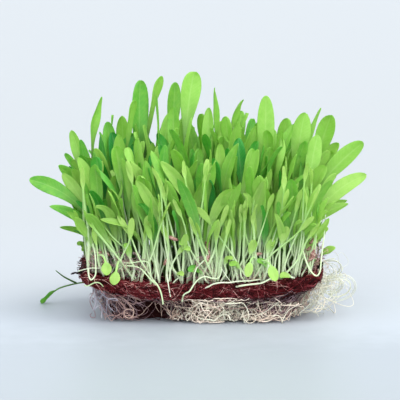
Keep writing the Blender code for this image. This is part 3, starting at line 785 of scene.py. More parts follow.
def youngStalk(rng):
    side, spread, bunches = rng.random(), filling["rootSpread"], youngStalks["bunches"]
    toEnds, toRight, toBack = youngStalks["turns"]
    x = youngStalks["every"] * rng.randint(-bunches, bunches) + rng.uniform(-spread, spread)
    y = rng.uniform(*youngStalks["front"])
    if side > toEnds:
        x, y = [rng.uniform(*span) for span in youngStalks["ends"]]
        x = math.copysign(x, side - toRight)
    if side > toBack:
        x, y = [rng.uniform(*span) for span in youngStalks["back"]]
    root = Vector((x, y, matTop(x) - filling["rootDepth"]))
    outwards = zip((x, y), youngStalks["fan"], youngStalks["lean"])
    tip = Vector((*[at * fan + rng.gauss(0, lean) for at, fan, lean in outwards], 0))
    tip.x = within(tip.x, filling["sideReach"])
    tip.z = rng.uniform(*youngStalks["height"])
    width = rng.uniform(*youngStalks["halfWidth"])
    turn = rng.uniform(-youngStalks["turn"], youngStalks["turn"])
    made = leafTo(root, tip, rng, width, turn, youngStalks["droop"])
    made["blade"] = rng.uniform(*youngStalks["blade"])
    made["rise"] = root.lerp(tip, rng.uniform(*youngStalks["rise"]))
    return made


youngRng = random.Random(youngStalks["seed"])
for _ in range(youngStalks["count"]):
    leaf = youngStalk(youngRng)
    clump = min(range(len(growth.places)), key=lambda i: (growth.places[i].xy - leaf["root"].xy).length)
    growth.tryToAdd(clump, lambda: leaf, 1, filling["overlap"])
leafCount = sum(len(found) for found in growth.leaves)
print("leaves grown:", solidLeafCount, "as in the solids and", leafCount - solidLeafCount, "between them")


# Fresh leaf: a thin waxy blade that glows yellow-green with light behind it, on a juicy pale stalk

leafLook = {
    "seed": 3,
    "longer": 1.40,  # what a grown blade gains in length over its solid
    "slimmer": 0.86,  # and what it loses in width
    "broader": 1.10,  # the width of a listed leaf
    "mostBlade": 0.86,
    "grownBlade": 0.0125,  # a grown leaf's blade is longer than this
    "lowSize": 0.62,  # the size of a leaf whose tip is at lowHeight; at twice that height it is full
    "lowHeight": 0.035,
    # a seed leaf is shorter and wider than the first two; it bends and waves less, and is rounder
    "seedLeaf": {
        "blade": 0.011, "halfWidth": 0.0012, "calm": 0.4, "wave": 0.35, "widest": 0.42, "taper": 2.1,
    },
    "widest": 0.30,  # where a blade is widest, as a share of its length from the tip
    "narrow": 0.0022,  # a narrower blade is widest further down
    "narrowWidest": 0.62,
    "taper": 1.6,
    "opening": 0.6,  # how soon a stalk's section opens into a blade's
    "petioleHalfWidth": 0.00041,
    "petioleThickness": 0.00038,  # from its middle to its face
    "plumpness": (0.66, 1.36),  # how much a stalk's width varies
    "footGain": 0.12,
    "bladeThickness": 0.00015,
    "edgeThinning": 0.96,
    "tipShare": 0.05,  # the tip's share of the blade, and how thick it is there
    "tipThickness": 0.6,
    "midrib": 0.00022,
    "midribWidth": 0.2,
    "fold": 0.0017,
    "foldPlay": (0.3, 1.5),
    "foldWidth": 0.0035,  # the half width from which a blade folds fully
    "wave": 0.00085,
    "waveTurns": (9, 1.7),  # along the blade, and between its two edges
    "waveWidth": 0.0033,
    "curl": 0.0038,
    "sickle": 0.0022,  # how far a blade bends to its side
    "bendBlade": 0.024,  # a shorter blade bends less
    "leastBend": 0.12,
    "bow": 0.0015,  # how far a stalk bows
    "twist": 0.65,
    "lowest": 0.1 * mm,
    "spineSteps": 160,
    "petioleRings": 8,
    "bladeRings": (
        1, 0.93, 0.86, 0.78, 0.70, 0.62, 0.54, 0.46, 0.38, 0.30, 0.22, 0.15, 0.09, 0.045, 0.015, 0.002,
    ),
    "columns": (-0.94, -0.62, -0.31, 0, 0.31, 0.62, 0.94),
    "blade": ((0.0, "#128C36"), (0.28, "#4AAA3E"), (0.58, "#92C853"), (1.0, "#BEDC7C")),
    "mottle": 2.2 * mm,
    "mottleContrast": 0.30,
    "stalk": ((0.04, "#F6F8EA"), (0.30, "#E3F0D0"), (0.80, "#B4DC82")),
    "shadedInnerStalk": "#54803A",  # painted shade: a darker green for stalks inside the bed, which little light reaches
    # the inner stalks' share of painted shade: full up to the first distance from the middle, none from the
    # second on
    "inside": {1: 0.026, 2: 0.0345, 3: 0.92, 4: 0.0},
    "vein": "#D6F0A0",
    "ribEdge": (0.012, 0.055),
    "ribShare": 0.17,
    "leafSpan": 90 * mm,
    "veinSpacing": 2.6 * mm,
    "veinSlant": -5.0,
    "veinEdge": 0.12,
    "veinShare": 0.10,
    "veinDepth": -0.4,
    "lit": "#D4F868",
    "litShare": 0.18,
    # glow is the share of the light that goes through
    "finish": {"roughness": 0.44, "specular": 0.35, "bump": 0.12 * mm, "bumpStrength": 0.5, "glow": 0.48},
}


def freshLeaf():
    made, tree = newMaterial("freshLeafCuticle")
    across, along = meshLayer(tree, "leafPlace")
    tone, blade = meshLayer(tree, "leafTone")
    mottle = blobs(tree, leafLook["mottle"], 4.0)
    shown = mottled(tree, tone, mottle, leafLook["mottleContrast"])
    bladeColour = addNode(tree, "ShaderNodeValToRGB", {0: shown}, stops=leafLook["blade"])
    # painted shade: stalks inside the bed are mixed towards a darker green
    place = addNode(tree, "ShaderNodeTexCoord", {}, "Object")
    depth = addNode(tree, "ShaderNodeSeparateXYZ", {0: place}, 1)
    depth = addNode(tree, "ShaderNodeMath", {0: depth}, operation="ABSOLUTE")
    inside = addNode(tree, "ShaderNodeMapRange", {0: depth, **leafLook["inside"]})
    stalk = addNode(tree, "ShaderNodeValToRGB", {0: along}, stops=leafLook["stalk"])
    stalk = {0: inside, 6: stalk, 7: leafLook["shadedInnerStalk"]}
    stalk = addNode(tree, "ShaderNodeMix", stalk, 2, data_type="RGBA")
    colour = addNode(tree, "ShaderNodeMix", {0: blade, 6: stalk, 7: bladeColour}, 2, data_type="RGBA")

    # pale midrib, and side veins that leave it at a slant every few millimetres
    fromRib = addNode(tree, "ShaderNodeMath", {0: across, 1: 0.5}, operation="SUBTRACT")
    fromRib = addNode(tree, "ShaderNodeMath", {0: fromRib}, operation="ABSOLUTE")
    near, far = leafLook["ribEdge"]
    rib = addNode(tree, "ShaderNodeMapRange", {0: fromRib, 1: near, 2: far, 3: leafLook["ribShare"], 4: 0.0})
    rows = leafLook["leafSpan"] / leafLook["veinSpacing"]
    rows = addNode(tree, "ShaderNodeMath", {0: along, 1: rows}, operation="MULTIPLY")
    slant = {0: fromRib, 1: leafLook["veinSlant"], 2: rows}
    slant = addNode(tree, "ShaderNodeMath", slant, operation="MULTIPLY_ADD")
    vein = addNode(tree, "ShaderNodeMath", {0: slant, 1: 0.5}, operation="PINGPONG")
    veins = addNode(tree, "ShaderNodeMapRange", {0: vein, 1: 0.0, 2: leafLook["veinEdge"], 3: 1.0, 4: 0.0})
    faint = addNode(tree, "ShaderNodeMath", {0: veins, 1: leafLook["veinShare"]}, operation="MULTIPLY")
    paler = addNode(tree, "ShaderNodeMath", {0: rib, 1: faint}, operation="MAXIMUM")
    paler = addNode(tree, "ShaderNodeMath", {0: paler, 1: blade}, operation="MULTIPLY")
    colour = addNode(tree, "ShaderNodeMix", {0: paler, 6: colour, 7: leafLook["vein"]}, 2, data_type="RGBA")

    height = {0: veins, 1: leafLook["veinDepth"], 2: mottle}
    height = addNode(tree, "ShaderNodeMath", height, operation="MULTIPLY_ADD")
    lit = {0: leafLook["litShare"], 6: colour, 7: leafLook["lit"]}
    lit = addNode(tree, "ShaderNodeMix", lit, 2, data_type="RGBA")
    return finishMaterial(made, tree, colour, leafLook["finish"], height, lit)


def leafParts(leaves, rng):  # all the leaves as one part: [leaf, ring, corner, xyz]
    look, seedLook = leafLook, leafLook["seedLeaf"]

    def each(give):  # a row for each leaf
        return np.array([give(leaf) for leaf in leaves])[:, None]

    def spread(name):  # a random number for each leaf
        return each(lambda leaf: rng.gauss(0, look[name]))

    def curve(s):
        return root * (1 - s) ** 2 + rise * 2 * s * (1 - s) + tip * s**2

    root, rise, tip, facing = [each(lambda leaf: leaf[key]) for key in ("root", "rise", "tip", "face")]
    wide, length = each(lambda leaf: leaf["halfWidth"]), each(lambda leaf: leaf["blade"])
    placed = each(lambda leaf: "calm" in leaf)
    grown = length > look["grownBlade"]
    seedling = (length < seedLook["blade"]) & (wide > seedLook["halfWidth"])
    calm = each(lambda leaf: leaf.get("calm", 1.0)) * np.where(seedling, seedLook["calm"], 1.0)

    # how wide each blade is, and where on its line it starts; a seed leaf's is measured along its bend
    start = each(lambda leaf: bladeShare(leaf, 1.0))
    start = np.where(grown, 1 - np.minimum(look["mostBlade"], look["longer"] * (1 - start)), start)
    wide = wide * np.where(placed, look["broader"], np.where(grown, look["slimmer"], 1.0))
    low = np.clip((tip[..., 2] - look["lowHeight"]) / look["lowHeight"], 0, 1)
    shrinks = grown & ~(placed & (tip[..., 0] > 0))
    small = np.where(shrinks, look["lowSize"] + (1 - look["lowSize"]) * low, 1.0)
    wide, start = wide * small, 1 - (1 - start) * small
    line = curve(np.linspace(0, 1, look["spineSteps"] + 1)[None, :, None])
    toTip = np.cumsum(np.linalg.norm(np.diff(line, axis=1), axis=-1)[:, ::-1], axis=1)
    inBlade = (toTip < length).mean(axis=1, keepdims=True)
    start = np.where(grown, start, 1 - np.minimum(look["mostBlade"], inBlade))

    # places and directions along the leaf: s runs from 0 at the root to 1 at the tip, t from 1 where the
    # blade starts to 0 at the tip
    petioleStops = np.linspace(0, 1, look["petioleRings"], endpoint=False)
    t = np.concatenate([np.ones(len(petioleStops)), look["bladeRings"]])[None, :].repeat(len(leaves), 0)
    s = np.concatenate([start * petioleStops, 1 - t[:, len(petioleStops) :] * (1 - start)], axis=1)
    mix = s[..., None]
    centre = curve(mix)
    ahead = unit((rise - root) * (1 - mix) + (tip - rise) * mix)
    up = unit(facing - ahead * (facing * ahead).sum(-1, keepdims=True))
    side = np.cross(ahead, up)
    twist = spread("twist") * calm * s**3
    cos, sin = np.cos(twist)[..., None], np.sin(twist)[..., None]
    up, side = up * cos + side * sin, side * cos - up * sin

    # the half width at each ring, and how far the section is a blade's
    petiole = look["petioleHalfWidth"] * each(lambda leaf: rng.uniform(*look["plumpness"]))
    widest = np.where(wide < look["narrow"], look["narrowWidest"], look["widest"])
    widest = np.where(seedling, seedLook["widest"], widest)
    share = np.clip((t - widest) / (1 - widest), 0, 1)
    taper = 0.25 * (1 + np.cos(math.pi * share)) + 0.5 * (1 - share ** look["taper"])
    taper = np.where(seedling, 1 - share ** seedLook["taper"], taper)
    rounded = np.sqrt(np.clip(1 - (1 - np.minimum(t, widest) / widest) ** 2, 0, 1))
    width = np.where(t < widest, wide * rounded, petiole + (wide - petiole) * taper)
    thickFoot = 1 + look["footGain"] * (1 - s / start).clip(0, 1) ** 3
    width = np.where(t >= 1, petiole * thickFoot, width)[..., None]
    blade = np.clip((width[..., 0] - petiole) / (wide - petiole), 0, 1) ** look["opening"]
    blade = np.where(t < widest, 1.0, blade)[..., None]

    # the blade curls and bends, and the stalk bows
    supple = (np.clip(length / look["bendBlade"], look["leastBend"], 1.0) * calm)[..., None]
    curl = spread("curl")[..., None] * supple
    sickle = spread("sickle")[..., None] * supple + each(lambda leaf: leaf.get("bend", 0.0))[..., None]
    centre = centre + (up * curl + side * sickle) * ((1 - t) ** 2)[..., None]
    bow = each(lambda leaf: [rng.gauss(0, look["bow"]), rng.gauss(0, look["bow"]), 0.0])
    centre = centre + bow * (np.sin(math.pi * np.minimum(1.0, s / start)) ** 2)[..., None]

    # the section: a from edge to edge over the face (skin 1) and back under it (skin -1)
    face, t, wide, seedling = look["columns"], t[..., None], wide[..., None], seedling[..., None]
    a = np.array([-1, *face, 1, *face[::-1]])[None, None, :]
    skin = np.array([0] + [1] * len(face) + [0] + [-1] * len(face))[None, None, :]
    thick = look["petioleThickness"] + (look["bladeThickness"] - look["petioleThickness"]) * blade
    thick = thick * np.sqrt(1 - look["edgeThinning"] * a**2)
    thick = thick * np.where(t < look["tipShare"], look["tipThickness"], 1.0)
    rib = look["midrib"] * np.exp(-((a / look["midribWidth"]) ** 2)) * blade * np.clip(t * 2, 0, 1)
    fold = each(lambda leaf: rng.uniform(*look["foldPlay"]))[..., None] * look["fold"]
    fold = fold * np.minimum(1.0, wide / look["foldWidth"]) * np.where(seedling, seedLook["calm"], 1.0)
    lift = -fold * (1 - np.abs(a)) * np.clip(width / wide, 0, 1) * blade
    phase = each(lambda leaf: rng.uniform(0, math.tau))[..., None]
    down, between = look["waveTurns"]
    waves = np.sin(down * t + phase + between * np.sign(a)) * a**2 * blade * look["wave"]
    waves = waves * np.clip(wide / look["waveWidth"], 0, 1) * np.where(seedling, seedLook["wave"], 1.0)
    high = (lift + waves + skin * thick - np.where(skin < 0, rib, 0))[..., None]
    grid = centre[:, :, None] + side[:, :, None] * (a * width)[..., None] + up[:, :, None] * high
    grid[..., 2] = np.maximum(grid[..., 2], look["lowest"])

    tone = each(lambda leaf: leafTone(leaf, rng))[..., None]
    layers = {"leafPlace": ((a + 1) / 2, mix), "leafTone": (tone, blade)}
    for name, found in layers.items():
        layers[name] = np.stack(np.broadcast_arrays(*found, grid[..., 0])[:2], axis=-1)
    return grid, layers


# A leaf's tone: brighter up, outside and on the right, where most light falls
leafTones = {
    "middle": 0.51,
    "up": 0.04,
    "outside": 0.14,
    "right": 1.9,  # for each metre
    "reach": (0.075, 0.055),
    "spread": 0.22,
    "placedSpread": 0.09,
    "young": 0.40,
    "mostYoung": 0.92,
    "most": 0.78,
    "mostOnTop": 0.64,
    "topFrom": 0.85,
}


def leafTone(leaf, rng):
    if "tone" in leaf:
        return leaf["tone"]
    tip, look = leaf["tip"], leafTones
    height = tip.z / canopy["height"]
    outside = math.hypot(tip.x / look["reach"][0], tip.y / look["reach"][1])
    tone = look["middle"] + look["up"] * height + look["outside"] * min(1.0, outside) + look["right"] * tip.x
    tone += rng.gauss(0, look["placedSpread" if "calm" in leaf else "spread"])
    if leaf["blade"] < leafLook["grownBlade"]:
        return min(look["mostYoung"], tone + look["young"])
    return min(look["mostOnTop" if height > look["topFrom"] else "most"], max(0.0, tone))


crownLook = {
    "rise": 0.0030,
    "radius": 0.0007,
    "sides": 10,
    "paleness": 0.02,
    # shares of the rise and of the radius
    "rings": ((-0.6, 0.9), (0.0, 1.0), (0.25, 1.02), (0.5, 0.86), (0.75, 0.6), (1.0, 0.2)),
}


def crownPart(place):  # the pale foot that a clump's stalks leave
    heights, radii = np.array(crownLook["rings"]).T
    points = np.array([[place.x, place.y, place.z + crownLook["rise"] * height] for height in heights])[None]
    grid = tubeGrid(points, crownLook["radius"] * radii[None], crownLook["sides"])
    return plainPart(grid, crownLook["paleness"])


leafMaterial = freshLeaf()
leafRng = random.Random(leafLook["seed"])
for clump, place in enumerate(growth.places):
    number = f"{clump + 1:02d}"
    parts = [leafParts(growth.leaves[clump], leafRng), crownPart(place)]
    gridMesh("seedlingClump" + number, parts, leafMaterial, ["seedlings_" + number])
print("seedling clumps built")


# Coir: brown coconut fibre, needled into a mat and dyed dark red by the wet: matt, hairy, and painted darker
# between the fibres as shade

matLook = {
    "seed": 4,
    "rings": 150,
    "corners": 140,
    "square": 7.0,  # how square the mat's cut edges are
    "bow": 0.12,  # how far its sides bow out in plan
    "closeFrom": 0.965,  # where the ends start to close
    "leastClose": 0.12,
    "endInset": 0.015,
    "relief": 0.6 * mm,
    "reliefSize": 6 * mm,
    "reliefUp": 0.7,  # the relief's share on the top and the underside
    # the pith's lumps: their size and height, and how much longer they are along the mat
    "lumps": ((5 * mm, 0.6 * mm, 1), (1.1 * mm, 0.35 * mm, 3)),
    "lumpsUp": 0.6,
    # the pith's near black is partly painted shade in the gaps between the fibres
    "pith": "#160304",
    "pithLight": "#400D0F",
    "pithCrumbs": 1.1 * mm,
    "pithFinish": {"roughness": 0.85, "specular": 0.2, "bump": 0.5 * mm, "bumpStrength": 0.9},
    "fibre": ((0.0, "#090102"), (0.30, "#2E0507"), (0.62, "#611319"), (0.86, "#9E4C52"), (1.0, "#D6A9A0")),
    "fibreBlotch": 2.5 * mm,
    "fibreContrast": 0.9,
    "fibreGrain": 0.5 * mm,
    "fibreFinish": {"roughness": 0.68, "specular": 0.12, "bump": 0.05 * mm, "bumpStrength": 0.6},
    "fibreRadius": 0.135 * mm,
    "radiusPlay": (0.5, 1.6),
    "thinning": 0.6,
    "fibrePoints": 14,
    "fibreStep": 1.3 * mm,
    # name, fibres, where round the section in mm from the front edge's middle, and how far they spread
    "bands": (
        ("Front", 2500, 0.0, 4.2),
        ("Back", 1200, 86.0, 4.2),
        ("Top", 1500, -43.0, 39.0),
        ("Under", 700, 43.0, 39.0),
    ),
    "overhang": 1.04,  # how far out fibres start; 1 is the mat's end
    "mostOverhang": 1.03,
    "straying": 0.38,
    "crossing": 0.08,  # the share that starts across the mat
    "bend": 0.10,
    "bendKept": 0.8,
    "swing": 0.35 * mm,
    "swingStep": 0.7,
    "layer": (-0.6 * mm, 1.1 * mm),  # how far off the surface they lie
    "hairShare": 0.22,
    "hairLift": (0.6 * mm, 3.6 * mm),
    "tone": 0.28,
    "toneOut": 0.30,  # painted shade: the tone gained for each mm off the surface, so deeper fibres are darker
    "toneSpread": 0.24,
    # the dark corner at the front's right end: where it starts, over how much, and behind which y it stops
    "dark": (0.0505, 0.003, -0.02),
    "darkness": 0.9,
}


def underside(x):  # matBottom, for many places at once
    end = np.minimum(1.0, np.abs(x) / (bed["length"] / 2))
    return bed["lift"] + np.where(x < 0, bed["leftCurl"], bed["rightCurl"]) * end**3


def matSurface(u, v, level, out=0.0):
    # u runs from -1 to 1 along the mat, v and level round its cross-section; out is how far off the surface
    look = matLook
    x = u * np.sqrt(1 - look["bow"] * v**2) * bed["length"] / 2
    end = np.minimum(1.0, np.abs(x) / (bed["length"] / 2))
    thick = bed["thickness"] * (1 - bed["endThinning"] * end**4)
    past = np.clip((np.abs(u) - look["closeFrom"]) / (1 - look["closeFrom"]), 0, 1)
    close = np.sqrt(1 - past**2)
    half = thick / 2 * np.maximum(close, look["leastClose"])
    inset = 1 - look["endInset"] + look["endInset"] * close
    y = v * np.sqrt(1 - look["bow"] * u**2) * bed["depth"] / 2 * inset
    place = np.stack(np.broadcast_arrays(x, y, underside(x) + thick / 2 + half * level), axis=-1)
    out = out + look["relief"] * ripple(place, look["reliefSize"], 5)
    side = powered(v, look["square"] / 2)
    up = look["reliefUp"] * powered(level, look["square"] / 2)
    return place + np.stack(np.broadcast_arrays(0 * out, side, up), axis=-1) * out[..., None]


# Coir pith: the crumbly dust between the fibres, dark and dull where it is wet, and painted nearly black as
# shade in the gaps between the fibres
def coirPith():
    made, tree = newMaterial("wetCoirPith")
    crumbs = blobs(tree, matLook["pithCrumbs"], 5.0, (0.5, 1, 1))
    tones = {0: crumbs, 6: matLook["pith"], 7: matLook["pithLight"]}
    colour = addNode(tree, "ShaderNodeMix", tones, 2, data_type="RGBA")
    return finishMaterial(made, tree, colour, matLook["pithFinish"], crumbs)


# Coir fibre: combed and coarse, each strand in its own red-brown, painted paler on top and darker deeper
# down, as light and shade
def coirFibre():
    made, tree = newMaterial("combedCoirFibre")
    blotch = blobs(tree, matLook["fibreBlotch"], 3.0, (0.25, 1, 1.6))
    tone = mottled(tree, meshLayer(tree, "strand")[0], blotch, matLook["fibreContrast"])
    colour = addNode(tree, "ShaderNodeValToRGB", {0: tone}, stops=matLook["fibre"])
    return finishMaterial(made, tree, colour, matLook["fibreFinish"], blobs(tree, matLook["fibreGrain"]))


def layFibres(rng, count, middle, spread):  # fibres that run mostly along the mat, over its surface
    look, half = matLook, bed["length"] / 2
    section = roundSquare(look["square"])
    around = lengthsRound(section * [bed["depth"] / 2, bed["thickness"] / 2])
    length = around[outlineSteps // 2] + middle * mm + rng.uniform(-1, 1, count) * spread * mm
    x = rng.uniform(-look["overhang"], look["overhang"], count) * half
    heading = rng.normal(0, look["straying"], count)
    heading = heading + np.where(rng.random(count) < look["crossing"], math.pi / 2, 0)
    bend = rng.normal(0, look["bend"], count)
    phase, swing = rng.uniform(0, math.tau, count), rng.uniform(0.0, look["swing"], count)
    base = rng.uniform(*look["layer"], count)
    hair = np.where(rng.random(count) < look["hairShare"], rng.uniform(*look["hairLift"], count), 0)
    line = []
    for step in range(look["fibrePoints"]):
        share = step / (look["fibrePoints"] - 1)
        out = base + swing * np.sin(phase + look["swingStep"] * step) + hair * share**2
        v, level = placesRound(length, around, section)
        line.append(matSurface(np.clip(x / half, -look["mostOverhang"], look["mostOverhang"]), v, level, out))
        bend = bend * look["bendKept"] + rng.normal(0, look["bend"], count)
        heading = heading + bend
        x = x + look["fibreStep"] * np.cos(heading)
        length = length + look["fibreStep"] * np.sin(heading)
    return np.stack(line, axis=1), base


def buildMat():
    look, rng = matLook, np.random.default_rng(matLook["seed"])
    u = np.sin(np.linspace(-math.pi / 2, math.pi / 2, look["rings"]))
    turn = np.linspace(0, math.tau, look["corners"], endpoint=False)
    v, level = [powered(wave(turn), 2 / look["square"])[None, :] for wave in (np.cos, np.sin)]
    grid = matSurface(u[:, None], v, level)
    for point in grid.reshape(-1, 3):
        x, y, z = point
        rough = sum(
            noise.noise(Vector((x / longer, y, z)) / size) * high for size, high, longer in look["lumps"]
        )
        point += np.array([0, y / (bed["depth"] / 2), look["lumpsUp"]]) * rough
    gridMesh("coirMat", closedPart(grid), coirPith(), ["growing_mat"])

    fibre = coirFibre()
    for name, count, middle, spread in look["bands"]:
        line, base = layFibres(rng, count, middle, spread)
        radius = look["fibreRadius"] * rng.uniform(*look["radiusPlay"], (count, 1))
        radius = radius * (1 - look["thinning"] * np.linspace(0, 1, line.shape[1]) ** 3)
        darkX, over, darkY = look["dark"]
        black = np.clip((line[:, 0, 0] - darkX) / over, 0, 1) * (line[:, 0, 1] < darkY)
        # painted light and shade: fibres further off the surface are paler, deeper ones darker
        tone = look["tone"] + look["toneOut"] * base / mm + rng.normal(0, look["toneSpread"], count)
        tone = np.clip(tone, 0, 1) * (1 - look["darkness"] * black)
        gridMesh("coirFibres" + name, [strandPart(line, radius, tone)], fibre)
    return fibre


fibreMaterial = buildMat()
print("growing mat built")


# Roots: an open felt of fine hairs over a dark matted core, partly painted shade, cream where they are thick,
# mauve where thin

rootLook = {
    "seed": 9,
    "left": 0.0485,
    "right": 0.051,
    "depth": 0.075,
    "footShare": 0.84,
    "square": 6.0,
    "gap": 0.0004,
    "endsOut": 0.35,  # how much the ends give way, beside the front and the back
    "relief": 1.6 * mm,
    "reliefSize": 17 * mm,
    "hollow": (-21.5 * mm, 4.0 * mm, 5.0 * mm, 6.5 * mm, 8.0 * mm),  # x, z, half width, half height, depth
    "hollowEdge": 0.8,
    "hollowShare": 0.18,  # of the strands that would cross it
    "coreLevels": (-1, -0.97, *np.linspace(-0.9, 0.9, 16), 0.97, 1),
    "coreCorners": 160,
    "coreInset": 4.9 * mm,
    "coreEndInset": 1.6,  # how many times as far at the top and the foot
    "coreLumps": (2 * mm, 0.7 * mm),  # size and height
    # the core's near black is partly painted shade in the gaps between the strands
    "core": "#120303",
    "coreLight": "#330F0F",
    "coreClots": 2.5 * mm,
    "coreFinish": {"roughness": 0.8, "specular": 0.1, "bump": 0.8 * mm, "bumpStrength": 0.9},
    "tones": ("#3A1616", "#AB9099", "#CBA49B", "#E7CDB8", "#FAEBDA", "#E6E8D2", "#BEB8C8"),
    "blotch": 3 * mm,
    "blotchContrast": 0.16,
    "finish": {"roughness": 0.38, "specular": 0.4, "glow": 0.25},
    "points": 26,
    "step": 0.95 * mm,
    "swing": (0.3 * mm, 1.5 * mm),
    "swingStep": 0.45,
    "bendKept": 0.86,
    "bendNew": 0.55,  # of the nest's own curl
    "lowest": 0.45 * mm,
    "climb": (-2.0 * mm, 1.8 * mm),  # how far strands climb over the mat's lower edge
    "highClimb": (0.25, 3.0 * mm),  # the share of the thinnest that climb further, and how much
    "turnFrom": 1.8 * mm,  # strands turn up again between the surface and this height
    "climbOut": 2.6 * mm,  # how far they stand out there, from climbFrom below the mat
    "climbFrom": 0.6 * mm,
    "footOut": 4.76 * mm,  # how far they may spread over the surface
    "footHigh": 6 * mm,
    "thinning": 0.5,
    "radiusPlay": (0.55, 1.3),
    "thin": 0.2,  # nests of strands thinner than this, in mm, climb further
    "sunk": 0.6,  # how deep in the felt a nest lies, in mm
    # painted light and shade: how much paler a strand gets out from the felt's side, and darker deeper in,
    # over what distance, and the limits of that
    "paler": (0.11, 1.5 * mm, (-2, 0.5)),
    # each nest on the front: middle x and z, spreads in x and z, ceiling, strands, tone and its spread,
    # radius, how far the strands stand out in mm, and how tightly they curl
    "nests": (
        ("Cream", 8.0, 6.0, 7.5, 4.5, 99, 70, 0.69, 0.05, 0.29, 3.2, 0.30),
        ("Middle", -8.0, 5.0, 6.5, 4.5, 99, 32, 0.52, 0.12, 0.22, 1.8, 0.24),
        ("Right", 41.0, 5.0, 8.0, 3.5, 9.5, 34, 0.68, 0.08, 0.24, 2.8, 0.22),
        ("Foot", 25.0, 2.5, 10.0, 1.8, 6.0, 34, 0.63, 0.08, 0.25, 2.6, 0.22),
        ("Mauve", 29.0, 9.5, 11.0, 2.5, 15, 50, 0.14, 0.06, 0.15, 1.2, 0.20),
        ("Left", -35.0, 6.0, 9.0, 4.5, 99, 60, 0.24, 0.10, 0.19, 2.0, 0.22),
        # the inner nest's dark strands are painted shade in the gaps behind the paler ones
        ("Inner", 2.0, 6.0, 26.0, 4.5, 99, 130, 0.03, 0.03, 0.20, -2.4, 0.22),
    ),
    "nestsFrom": (-0.044, 0.048),
    "heights": (0.4, 14),
    "palest": 0.80,
    # the nest round the ends and the back, and its thinner strands along the front
    "restCount": 520,
    "restFrontCount": 50,
    "restPast": 12 * mm,  # how far past the ends they start
    "restRadius": (0.25, 0.17),  # at the back and at the front
    "restTone": (0.46, 0.30),
    "restDarkest": 0.15,
    "restPlay": 0.08,
    "restPatches": (11 * mm, 4.3 * mm),
    "restPatchTone": 0.14,
    "restOff": (-0.6, 1.4),  # how far off the felt's side they lie, and how that varies
    "restCurl": 0.22,
    "restRadiusPlay": (0.5, 1.3),
    "restLeft": (-0.040, 0.28),  # left of this x only a share of the strands stays
    "restLow": (0.014, 7 * mm),  # right of this x the front's strands stay below a height
}


def feltTop(x):  # just under the mat
    return underside(x) - rootLook["gap"]


def outwards(x, y):  # the way out of the felt
    return unit(np.stack([x * rootLook["endsOut"], y, 0 * x], axis=-1))


def feltSurface(u, v, level, out=0.0):  # u and v run round the felt in plan, level from -1 at the foot to 1
    height = (level + 1) / 2
    size = rootLook["footShare"] + (1 - rootLook["footShare"]) * height
    x = u * np.where(u < 0, rootLook["left"], rootLook["right"]) * size
    y = v * rootLook["depth"] / 2 * size
    place = np.stack([x, y, feltTop(x) * height], axis=-1)
    middle, foot, wide, high, deep = rootLook["hollow"]
    hollow = np.exp(-(((x - middle) / wide) ** 2) - ((place[..., 2] - foot) / high) ** 2) * (y < 0)
    out = out + rootLook["relief"] * ripple(place, rootLook["reliefSize"], 8) - deep * hollow
    return place + outwards(x, y) * out[..., None]


# Matted root felt: old roots pressed together and soaked, with soft clots; nearly black, partly as painted
# shade in the gaps between the hairs
def rootFeltCore():
    made, tree = newMaterial("mattedRootFelt")
    clots = blobs(tree, rootLook["coreClots"], 5.0, (0.6, 1, 1))
    tones = {0: clots, 6: rootLook["core"], 7: rootLook["coreLight"]}
    colour = addNode(tree, "ShaderNodeMix", tones, 2, data_type="RGBA")
    return finishMaterial(made, tree, colour, rootLook["coreFinish"], clots)


# Root hair: thin, wet and half clear, so it shines a little and lets some light through
def rootHair():
    made, tree = newMaterial("wetRootHair")
    last = len(rootLook["tones"]) - 1
    stops = [(i / last, code) for i, code in enumerate(rootLook["tones"])]
    blotch = blobs(tree, rootLook["blotch"])
    tone = mottled(tree, meshLayer(tree, "strand")[0], blotch, rootLook["blotchContrast"])
    colour = addNode(tree, "ShaderNodeValToRGB", {0: tone}, stops=stops)
    return finishMaterial(made, tree, colour, rootLook["finish"], None, colour)


feltOutline = roundSquare(rootLook["square"])
feltPlan = feltOutline * [(rootLook["left"] + rootLook["right"]) / 2, rootLook["depth"] / 2]
feltAround = lengthsRound(feltPlan)
feltFront = feltAround[outlineSteps // 2]  # from here on the outline runs along the front, from left to right


def frontLength(x):  # how far round the outline the front is at x
    return np.interp(x, feltPlan[outlineSteps // 2 :, 0], feltAround[outlineSteps // 2 :])


def walkFelt(rng, length, height, off, curl, ceiling, thin):  # curling strands that keep to the felt's side
    look, count = rootLook, len(length)
    heading, bend = rng.uniform(0, math.tau, count), rng.normal(0, curl, count)
    phase, swing = rng.uniform(0, math.tau, count), rng.uniform(*look["swing"], count)
    high, more = look["highClimb"]
    climb = rng.uniform(*look["climb"], count) + more * (rng.random(count) < high) * thin
    least = rng.uniform(look["lowest"], look["turnFrom"], count)
    spread = rng.uniform(0.0, look["footOut"], count)
    line = []
    for step in range(look["points"]):
        u, v = placesRound(length, feltAround, feltOutline)
        top = feltTop(u * np.where(u < 0, look["left"], look["right"]))
        most = np.minimum(top + climb, ceiling)
        height = np.clip(height, least, most)
        over = np.clip((height - top + look["climbFrom"]) / mm, 0, 1) * look["climbOut"]
        over = over + np.clip(1 - height / look["footHigh"], 0, 1) * spread
        wave = swing * np.sin(phase + look["swingStep"] * step)
        place = feltSurface(u, v, 2 * height / top - 1, off + over + wave)
        place[:, 2] = np.maximum(place[:, 2], look["lowest"])
        line.append(place)
        bend = bend * look["bendKept"] + rng.normal(0, look["bendNew"] * curl, count)
        heading = heading + bend
        length = length + look["step"] * np.cos(heading)
        height = height + look["step"] * np.sin(heading)
        heading = np.where((height < least) | (height > most), -heading, heading)
    return np.stack(line, axis=1)


def inHollow(line):  # which strands cross the open hollow at the front
    middle, foot, wide, high, _ = rootLook["hollow"]
    across, up = (line[..., 0] - middle) / wide, (line[..., 2] - foot) / high
    return ((across**2 + up**2 < rootLook["hollowEdge"]) & (line[..., 1] < 0)).sum(axis=1) > 2


